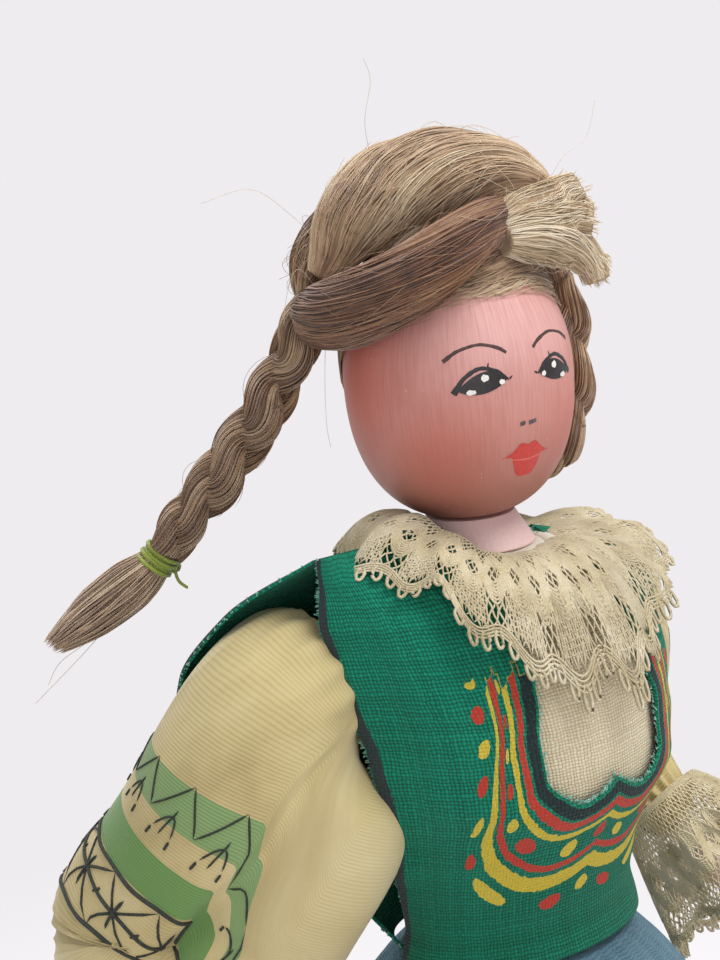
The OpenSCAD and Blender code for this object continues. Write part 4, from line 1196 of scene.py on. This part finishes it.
def make_front(fray):
    front = Piece("bodice_front_cloth")
    t = np.concatenate([np.linspace(0, CORNER, 110), np.linspace(CORNER, 1, 70)[1:]])
    inner, outer = edge_line(NECKLINE, t), edge_line(OUTER_EDGE, t)
    half = inner[:, None] + np.linspace(0, 1, 72)[None, :, None] * (outer - inner)[:, None]
    line = unroll(edge_line(NECKLINE, np.linspace(0, 1, 500)))
    arm = unroll(edge_line(OUTER_EDGE, np.linspace(0, CORNER, 300)))
    flat = unroll(half)
    far = np.linalg.norm(flat - flat[:, :1], axis=-1)
    along = reach_along(line)[-1] - away(flat[:, :1], line)[1]
    edge = away(flat, arm)[0]
    share = t[:, None]
    worn = TRIM_START + 0.02 * np.sin(2.3 * far) + 0.012 * np.sin(5.1 * far + 1)
    printed = np.where(share < worn, UNPRINTED, trim_place(far, smooth(share, 0.5, 0.86)))
    for side in (-1, 1):

        def rim(rows, col):
            return form_point(side * half[:rows, col, 0], half[:rows, col, 1], FRAY_GROW)

        grid = form_point(side * half[..., 0], half[..., 1])
        ripple = 0.12 * np.sin(half[..., 1] * 0.9 + side) * np.sin(np.radians(half[..., 0]) * 5)
        grid = grid - side * ripple[..., None] * grid_normals(grid, False)
        cloth = stack(side * flat[..., 0], flat[..., 1], edge)
        trim = stack(printed, side * along + DOT_SHIFT, 0.0)
        add_cloth(front, grid[:, ::side], BODICE, cloth[:, ::side], trim[:, ::side], BODICE_THICK)
        add_fray(fray, rim(None, 0), rim(None, 4), 220)
        add_fray(fray, rim(ARMHOLE_ROWS, -1), rim(ARMHOLE_ROWS, -5), 620, 1.1)
    made = hang(front, "torso", "green_cloth", "bodice_front")
    lay(made, *BODICE_FLAT, "stretched", rests_on=("chemise_front", "torso_padding"), area=0.7)


# Free edge of the bodice's back behind the right arm: height, place across and place back
BACK_EDGE = np.array([
    [HEM_Z, -16.5, 4], [152, -22.5, 12], [163, -31, 20], [173, -36.5, 22.5], [183, -37.8, 19],
    [192, -35, 11], [SEAM_Z, -28, 0.4],
])


def make_back(fray):
    back = Piece("bodice_back_cloth")
    z = np.linspace(HEM_Z, SEAM_Z, 74)
    a = np.linspace(ARMHOLE_TURN, 360 - ARMHOLE_TURN, 110)
    zz, aa = table(z, a)
    grid = form_point(aa, zz)
    flare = edge_line(BACK_EDGE, z)
    for turn, mirror in ((a[-1], (1, 1)), (a[0], (-1, 1))):
        offset = flare * np.array(mirror) - form_point(np.full_like(z, turn), z)[:, :2]
        grid[..., :2] += smooth(np.abs(a - turn), 72, 0)[None, :, None] * offset[:, None]
    step = np.linalg.norm(np.diff(grid, axis=1), axis=-1)
    wide = np.concatenate([np.zeros((len(z), 1)), np.cumsum(step, 1)], 1)
    cloth = stack(wide - wide[:, -1:] / 2, zz, np.minimum(wide, wide[:, -1:] - wide))
    add_cloth(back, grid, BODICE, cloth, stack(UNPRINTED, 0 * zz, 0.0), BODICE_THICK)
    for col, inner in ((0, 4), (-1, -5)):
        add_fray(fray, grid[:, col], grid[:, inner], 220)
    made = hang(back, "torso", "green_cloth", "bodice_back")
    lay(made, *BODICE_FLAT, "stretched", rests_on=("torso_padding",), area=0.8)


def make_chemise():
    chemise = Piece("chemise_cloth")
    zz, aa = table(np.linspace(150, 196, 50), np.linspace(-47, 47, 80))
    gather = 0.35 * smooth(zz, 168, 190) * np.sin(aa * 0.55 + 0.4 * np.sin(zz * 0.2))
    grid = torso_point(zz, 270 + aa, 1.1 + gather)
    add_cloth(chemise, grid, CHEMISE, stack(np.radians(aa) * 18, zz, 0.0), thick=0.3)
    made = hang(chemise, "torso", "cream_cloth", "chemise_front")
    lay(made, 32, 52, "stretched", rests_on=("torso_padding",))


fray = Piece("bodice_fray")
make_front(fray)
make_back(fray)
hang(fray, "torso", "green_cloth")
make_chemise()

# Lace: a strip of threads between a gathered footing and a scalloped edge, laid on a surface
TAPE_HALF = 1.4
NET_PITCH, TAPE_PITCH, FAN_STEP, PICOT_STEP = 1.2, 0.72, 9.0, 1.9
NET_THICK, CORD_THICK, PICOT_THICK, FAN_THICK = 0.15, 0.2, 0.27, 0.14
# Woven fans: pitch of their threads, half width as a share of the step, and reach across the strip
FAN_PITCH, FAN_HALF, FAN_FROM, FAN_TO = 0.52, 0.36, 0.56, 0.88


def add_lace(piece, place, length, width, filled=False):
    """Threads of a bobbin lace strip; place turns distances along and across it into points."""
    fans = max(3, round(length / FAN_STEP))
    step = length / fans

    def draw(s, w, radius=CORD_THICK):
        add_tubes(piece, place(*np.broadcast_arrays(s, w)), radius, LACE)

    def wave(s, middle, size):
        return width * (middle + size * np.cos(2 * np.pi * s / step))

    across = np.linspace(0.4, 0.9 * width, max(10, int(width / 0.6)))[None]
    starts = np.arange(0, length, NET_PITCH)[:, None]
    for lean in (-1, 1):
        draw(starts + lean * 0.6 * across + 0.15 * np.sin(3.1 * across + starts), across, NET_THICK)
    s = np.linspace(0, length, 26 * fans)[None]
    at = np.arange(0, length, TAPE_PITCH)[:, None]
    for swing in (-0.14, 0.14):
        for k in np.linspace(-TAPE_HALF, TAPE_HALF, 7):
            draw(s, wave(s, 0.52, swing) + k)
        cross = np.linspace(-TAPE_HALF, TAPE_HALF, 6)[None]
        draw(at + 0.1 * np.sin(9 * cross), wave(at, 0.52, swing) + cross)
    for k in (-0.5, -0.17, 0.17, 0.5):
        draw(s, wave(s, 0.9, -0.04) + k)
    turn = np.linspace(0, 2 * np.pi, 15)[None]
    at = np.arange(0, length, PICOT_STEP)[:, None]
    long = 0.5 * (0.07 * width + 0.3 * np.sin(7 * at))
    loops = wave(at, 0.9, -0.04) + long * (1 - np.cos(turn))
    draw(at + 0.55 * np.sin(turn) + 0.2 * np.sin(3 * at), loops, PICOT_THICK)
    for k in (0.0, 0.3, 0.6, 0.9):
        draw(s, k)
    if not filled:
        return
    half = FAN_HALF * step
    spread = np.arange(-half, half, FAN_PITCH)[:, None]
    down = np.linspace(FAN_FROM, FAN_TO, 12)[None] * width
    levels = np.arange(0.6 * width, 0.87 * width, FAN_PITCH)[:, None]
    side = np.linspace(-half, half, 9)[None] * (0.55 + 0.45 * levels / width)
    for centre in step * (np.arange(fans) + 0.5):
        draw(centre + spread * (0.55 + 0.45 * down / width), down, FAN_THICK)
        draw(centre + side, levels + 0.08 * np.sin(9 * side), FAN_THICK)


# Collar: length and width of its strip, and its folds
COLLAR_RUN, COLLAR_W, COLLAR_FOLDS = 170, 21, 8
# Footing, crest and free edge before they are shaped: radius and height; share of the width up to the crest
FOOT_R, FOOT_Z, STAND = 6.9, 195.5, 0.2
CREST_R, CREST_Z = 8.6, 197.4
EDGE_R, EDGE_Z = 14.4, 199.4
# How far the free edge drops at the front and back, beside the right braid and on the left
DROP_FRONT, DROP_BACK, DROP_RIGHT, DROP_LEFT = 21.5, 6, 4, 5.5


def collar_point(s, w):
    """Collar lace: stands up round the neck, turns over and falls on the chest."""
    a = (360 * s / COLLAR_RUN + 180) % 360 - 180
    v = np.clip(w / COLLAR_W, 0, 1.06)
    fold = COLLAR_FOLDS * np.radians(a)
    front, near = hump(a, 4, 52, 3), hump(a, -95, 38)
    left = smooth(a, 25, 70) * smooth(a, 175, 130)
    low_z = EDGE_Z - DROP_FRONT * front - DROP_BACK * smooth(np.abs(a), 115, 180)
    low_z = low_z - DROP_RIGHT * near - DROP_LEFT * left
    chest = form_point(a, np.clip(low_z, 150, 198))
    reach = np.hypot(chest[..., 0], chest[..., 1])
    low_r = EDGE_R + (reach + 1.2 - EDGE_R) * smooth(EDGE_Z - low_z, 0, 9) + 3 * near
    crest_z = CREST_Z + 5 * near - 1.4 * front - 2.0 * left
    crest_r = CREST_R + 2.4 * near + 1.0 * front
    up = smooth(v, 0, STAND)
    t = np.clip((v - STAND) / (1 - STAND), 0, 1.08)

    def fall(foot, crest, bow, low):
        over = (1 - t) ** 2 * crest + 2 * t * (1 - t) * bow + t**2 * low
        return np.where(v < STAND, foot + (crest - foot) * up, over)

    r = fall(FOOT_R, crest_r, crest_r + 0.62 * (low_r - crest_r), low_r)
    z = fall(FOOT_Z, crest_z, crest_z + 1.0 + near, low_z)
    r = r + (0.7 + 0.5 * near) * v * np.sin(fold + 0.8 * np.sin(2 * fold)) + 0.9 * v
    z = z + (0.8 + 0.6 * near) * v * np.cos(1.7 * fold + 1)
    a = np.radians(a)
    return stack(r * np.sin(a), -0.6 - r * np.cos(a), z)


def make_collar():
    p = Piece("collar_lace")
    add_lace(p, collar_point, COLLAR_RUN, COLLAR_W, filled=True)
    made = hang(p, "torso", "lace", "lace_collar")
    lay(made, COLLAR_RUN, COLLAR_W, "gathered", rests_on=("bodice_front", "bodice_back", "neck"))


make_collar()

# Arms: shoulder, directions and lengths, right then left
SHOULDER = np.array([[-27.5, 1.6, 187], [27.5, 1.6, 187]])
UPPER_DIR = unit([[-15, 17, -32], [12, 21, -26]])
FORE_DIR = unit([[3, -17, -24], [5, -18, -17]])
UPPER_LEN, FORE_LEN, HINGE_STEP = 44, 28, 2.0
ELBOW = SHOULDER + UPPER_LEN * UPPER_DIR
FORE = ELBOW + HINGE_STEP * unit(np.cross(UPPER_DIR, FORE_DIR))


def sample(grid, row, col):
    """Points between those of a grid that closes on itself along its columns."""
    rows, cols = grid.shape[:2]
    row = np.clip(row, 0, rows - 1.001)
    i, j = row.astype(int), np.floor(col).astype(int)
    u, v = (row - i)[..., None], (col - j)[..., None]
    j0, j1 = j % cols, (j + 1) % cols
    upper, lower = ((1 - v) * grid[k, j0] + v * grid[k, j1] for k in (i, i + 1))
    return (1 - u) * upper + u * lower


# Sleeves, right then left: fullness, set-back, puff towards the body, and cover over the wire eye; then the
# first two places on each one's middle line
SLEEVE_FULL, SLEEVE_SHIFT, INNER_PUFF, EYE_COVER = (1, 0.8), (0, 2), (10.8, 8), (0, 2.8)
SLEEVE_HEAD = (((-22.5, 6, 184), (-28, 7, 181.5)), ((21, 8, 183), (26, 9.5, 180.5)))
# Radius of a sleeve before its fullness, and the columns of its mesh
SLEEVE_R, SLEEVE_COLS = 13.4, 150
# Where the head of the sleeve ends, and how far the cloth has slid down on the inside of the arm
SLEEVE_CUT, CLOTH_SLIP = 17, 22
# Points passed on with each sleeve piece's two bodies: how far before the joint and after it; the sleeve
# isn't bent there
HEAD_BEND, ELBOW_BEND = (6, 7), (8, 8)
# Print: places of its bands along the sleeve, and how often its figures come round
STAR_BAND, ZIGZAG_BAND = (35.8, 44.4), (19.2, 24.9)
TEETH, STARS = 11, 10


def print_bands(ink):
    """Zigzag with hanging twigs, and a row of stars between lines."""
    girth = 2 * np.pi * SLEEVE_R
    step = girth / TEETH
    x = np.linspace(0, 1, 8)[None]
    lo, hi = ZIGZAG_BAND
    for n in range(TEETH):
        stem = step * n
        ink(step * (n + 0.5 * x), lo + (hi - lo) * x)
        ink(step * (n + 0.5 + 0.5 * x), hi - (hi - lo) * x)
        ink(stem + 0.2 * x, hi - 2.0 + 4.2 * x)
        for lean in (-1, 1):
            ink(stem + lean * 1.6 * x, hi - 0.8 + 2.5 * x * x)
            ink(stem + lean * (1.7 + 0.1 * x), hi + 2.0 + 1.3 * x, 0.24)
    lo, hi = STAR_BAND
    mid = (lo + hi) / 2
    line = np.linspace(0, girth, 120)[None]
    for level, width in ((lo - 0.2, 0.34), (mid, 0.3), (hi, 0.34)):
        ink(line, level + 0.12 * np.sin(0.7 * line + level), width)
    step = girth / STARS
    for n in range(STARS):
        c = n * step
        ink(c + 0 * x, mid - 2.6 + 5.2 * x, 0.3)
        for lean in (-1, 1):
            ink(c + lean * (x - 0.5) * step, lo + (hi - lo) * x, 0.21)
        ink(c + step / 2 + 0.9 * (x - 0.5), mid - 0.7 + 1.4 * x, 0.22)


def make_sleeve(k):
    side, sign = SIDES[k], (1, -1)[k]
    s, u, f, elbow, fore = SHOULDER[k], UPPER_DIR[k], FORE_DIR[k], ELBOW[k], FORE[k]
    inner = unit(f - u)
    back = np.array([0, SLEEVE_SHIFT[k], 0])
    path = route([
        *SLEEVE_HEAD[k], s + 12 * u + (0, 1.5, 0) + back, *(s + far * u + back for far in (24, 36, 47)),
        fore + 12 * f - 1.5 * inner, fore + 17.5 * f, fore + 22.4 * f,
    ], 130)
    run = reach_along(path)
    _, e, g = frames(path, np.array([0.0, 0, 1]))
    end = run[-1]
    stages = [0, 5, 13, 25, 40, 50, end - 14, end - 6, end]
    radii = np.array([8.2, 10.6, 12.2, SLEEVE_R, SLEEVE_R, 12.8, 10.6, 7, 4.3]) * SLEEVE_FULL[k]
    a = circle(SLEEVE_COLS)
    turn = np.degrees(sign * a) % 360
    at = run[:, None]
    out = ring(a, e[:, None], g[:, None])
    facing = np.clip((out * inner).sum(-1), 0, 1)
    bend = run[np.argmin(np.linalg.norm(path - elbow, axis=1))]
    crease = 3.2 * smooth(at, 24, 36) * smooth(at, end - 8, end - 16) * hump(turn, 246, 9)
    full = hump(turn, 176, 42) * smooth(at, 4, 17) * smooth(at, 58, 42)
    gather = 0.3 * (1 - smooth(at, 2, 10)) + 0.55 * smooth(at, end - 16, end - 6)
    grow = -3.4 * hump(at, bend, 3.2) * facing**2 - crease + INNER_PUFF[k] * full
    grow = grow + EYE_COVER[k] * hump(turn, 315, 36) * hump(at, 5, 6)
    grow = grow + gather * np.sin(15 * a + 1.2) + 0.3 * np.sin(2 * a + at * 0.17)
    radius = spline(stages, radii, run)[:, None] + grow
    grid = path[:, None] + radius[..., None] * out

    def slip(turn):
        """How far the cloth has slid down at an angle round the sleeve."""
        step = 4 * smooth(turn, 251, 244) + CLOTH_SLIP * smooth(turn, 243, 210)
        return step * smooth(turn, 150, 176)

    cloth = stack(a * SLEEVE_R, at - slip(turn), 0.0)
    cut = int(np.searchsorted(run, SLEEVE_CUT))
    head, sleeve = Piece("sleeve_head_" + side), Piece("sleeve_cloth_" + side)
    add_cloth(head, grid[: cut + 1], SLEEVE, cloth[: cut + 1], wrap=True)
    add_cloth(sleeve, grid[cut:], SLEEVE, cloth[cut:], wrap=True)
    shell = grid + 0.05 * grid_normals(grid, True)

    def ink(turns, at, width=0.16):
        """Printed stroke, from distances round the sleeve and along its cloth."""
        share = turns / SLEEVE_R / (2 * np.pi)
        row = np.interp(at + slip((sign * 360 * share) % 360), run, np.arange(len(run)))
        add_tubes(sleeve, sample(shell, row, share * SLEEVE_COLS), width, INK, 0.5, 4)

    print_bands(ink)
    girth = np.linalg.norm(grid - np.roll(grid, 1, axis=1), axis=-1).sum(1)
    arm, pads = "upper_arm_" + side, ("arm_padding_upper_" + side, "arm_padding_lower_" + side)
    over = ("torso", arm, s - HEAD_BEND[0] * u, s + HEAD_BEND[1] * u)
    past = (arm, "forearm_" + side, elbow - ELBOW_BEND[0] * u, elbow + ELBOW_BEND[1] * f)
    for piece, body, rows, length in (
        (head, over, slice(cut + 1), run[cut]), (sleeve, past, slice(cut, None), end - run[cut]),
    ):
        made = hang(piece, body, "cream_cloth", "sleeve_" + side)
        lay(made, girth[rows].max(), length, "gathered", rests_on=pads)


# Cuffs: flat size; then, right and left, their start back from the wrist, first radius and flare
CUFF_RUN, CUFF_W = 104, 20
CUFF_BACK, CUFF_START, CUFF_FLARE = (5.8, 9.5), (4.5, 7.2), (4.6, 6.4)


def make_cuff(k):
    side = SIDES[k]
    p = Piece("cuff_lace_" + side)
    f = FORE_DIR[k]
    start = FORE[k] + (FORE_LEN - CUFF_BACK[k]) * f
    e = unit(np.array([0, 0, 1]) - f[2] * f)
    g = np.cross(f, e)

    def place(s, w):
        a = 2 * np.pi * s / CUFF_RUN
        v = np.clip(w / CUFF_W, 0, 1.1)
        r = CUFF_START[k] + CUFF_FLARE[k] * v**0.8 + 1.3 * v * np.sin(7 * a) + 0.6 * v * np.sin(3 * a + 1)
        along = w * 0.97 + 0.5 * v * np.cos(5 * a)
        return start + along[..., None] * f + r[..., None] * ring(a, e, g)

    add_lace(p, place, CUFF_RUN, CUFF_W)
    made = hang(p, "forearm_" + side, "lace", "lace_cuff_" + side)
    lay(made, CUFF_RUN, CUFF_W, "gathered", rests_on=("sleeve_" + side, "hand_" + side))


for k in (0, 1):
    make_sleeve(k)
    make_cuff(k)

# Skirt: top, height, hem and length of its cloth; folds, their depth and their room within the hem;
# half width and half depth at the waist
SKIRT_TOP, SKIRT_LEN, HEM_R, SKIRT_CLOTH = 140.9, 103, 60, 112
SKIRT_FOLDS, FOLD_DEPTH, HEM_ROOM = 16, 2.7, 3.2
SKIRT_WAIST = (14.4, 12.2)
BAND_H, BAND_GATHERS = 5, 40


def make_skirt():
    p = Piece("skirt_cloth")
    ss, aa = table(np.linspace(0, 1, 70) ** 1.2, circle(320))
    fold = FOLD_DEPTH * ss**0.8 * np.cos(SKIRT_FOLDS * aa + 0.5 * np.sin(3 * aa))
    fold = fold + 0.5 * ss**0.3 * np.sin(BAND_GATHERS * aa) * (1 - ss) ** 2
    w, d = (waist + (HEM_R - HEM_ROOM - waist) * ss**0.62 + fold for waist in SKIRT_WAIST)
    grid = stack(w * np.cos(aa), d * np.sin(aa), SKIRT_TOP - ss * SKIRT_LEN)
    cloth = stack(aa * 45, ss * SKIRT_CLOTH, 0.0)
    add_cloth(p, grid[::-1], SKIRT, cloth[::-1], thick=0.4, wrap=True)
    made = hang(p, "torso", "blue_cloth", "skirt")
    lay(made, 2 * math.pi * HEM_R, SKIRT_CLOTH, "gathered", rests_on=("waistband",), area=0.75)
    band = Piece("waistband_cloth")
    zz, aa = table(np.linspace(WAIST_Z - BAND_H, WAIST_Z, 9), circle(320))
    gather = 0.12 * np.sin(aa * BAND_GATHERS) * (WAIST_Z - zz) / BAND_H
    grid = torso_point(zz, np.degrees(aa), 1.2 + gather)
    add_cloth(band, grid, SKIRT, stack(aa * 12, zz, 0.0), thick=0.5, wrap=True)
    hang(band, "torso", "blue_cloth", "waistband")


make_skirt()

# Cotton wound tight on the wires, and its clearance from the joints
PAD_CLEAR = 4.4
# Radius of a limb's padding along it, as a share of the widest; its ends are narrower
PAD_STAGES, PAD_SHARES = [0, 0.12, 0.4, 0.75, 1], (0.93, 0.98, 0.9)


def wind(name, body, slot, side, path, most, ends, up):
    """Cotton wound on a limb, in place of its CAD padding."""
    piece = Piece(name + "wound_" + side)
    _, e, f = frames(path, np.array(up, float))
    a = circle(40)
    run = reach_along(path)[:, None]
    radius = most * spline(PAD_STAGES, [ends, *PAD_SHARES, ends], np.linspace(0, 1, len(path)))
    r = radius[:, None] * (1 + 0.02 * np.sin(2 * np.pi * run / STRIP_W + a))
    rings = path[:, None] + r[..., None] * ring(a, e[:, None], f[:, None])
    add_loft(piece, rings, WOUND, stack(a * radius.max(), run, 0.0))
    hang(piece, body + side, slot, name + side)


def make_padding():
    torso = Piece("torso_wound")
    zz, aa = table(np.linspace(TORSO[0, 0], TORSO[-1, 0] - 0.2, 120), circle(90))
    grid = torso_point(zz, np.degrees(aa), -0.1 + 0.12 * np.sin(2 * np.pi * zz / STRIP_W + aa))
    add_loft(torso, grid, WOUND, stack(aa * 16, zz, 0.0))
    hang(torso, "torso", "cotton", "torso_padding")
    for k, side in enumerate(SIDES):
        for name, start, along, length, most, body in (
            ("arm_padding_upper_", SHOULDER[k], UPPER_DIR[k], UPPER_LEN - PAD_CLEAR, 4, "upper_arm_"),
            ("arm_padding_lower_", FORE[k], FORE_DIR[k], FORE_LEN - 0.4, 3.3, "forearm_"),
        ):
            path = start + np.linspace(PAD_CLEAR, length, 60)[:, None] * along
            wind(name, body, "cotton", side, path, most, 0.6, (0, 0.3, 1))
        for name, body, slot in (
            ("leg_padding_upper_", "thigh_", "cotton"), ("stocking_", "shin_", "cream_cloth"),
        ):
            lo, hi = (np.array(c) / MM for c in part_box(name + side))
            x, y = (lo + hi)[:2] / 2
            path = stack(x, y, np.linspace(hi[2], lo[2], 70))
            wind(name, body, slot, side, path, (hi[0] - lo[0]) / 2, 0.62, (0, 1, 0))


make_padding()


def dress(material, *nodes):
    """A finish for rigid CAD pieces that show as they are."""
    for name in nodes:
        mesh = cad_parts[name].data
        mesh.materials.clear()
        mesh.materials.append(material)


dress(WIRE, "spine_wire", "shoulder_wire", "hip_wire")
dress(PALE_SKIN, "neck")
for side in SIDES:
    for limb in ("arm", "leg"):
        dress(WIRE, *(f"{limb}_wire_{part}_{side}" for part in ("upper", "lower")))
    dress(PALE_SKIN, "hand_" + side)
    dress(SHOE, "shoe_" + side)
    dress(SOLE, "sole_" + side)
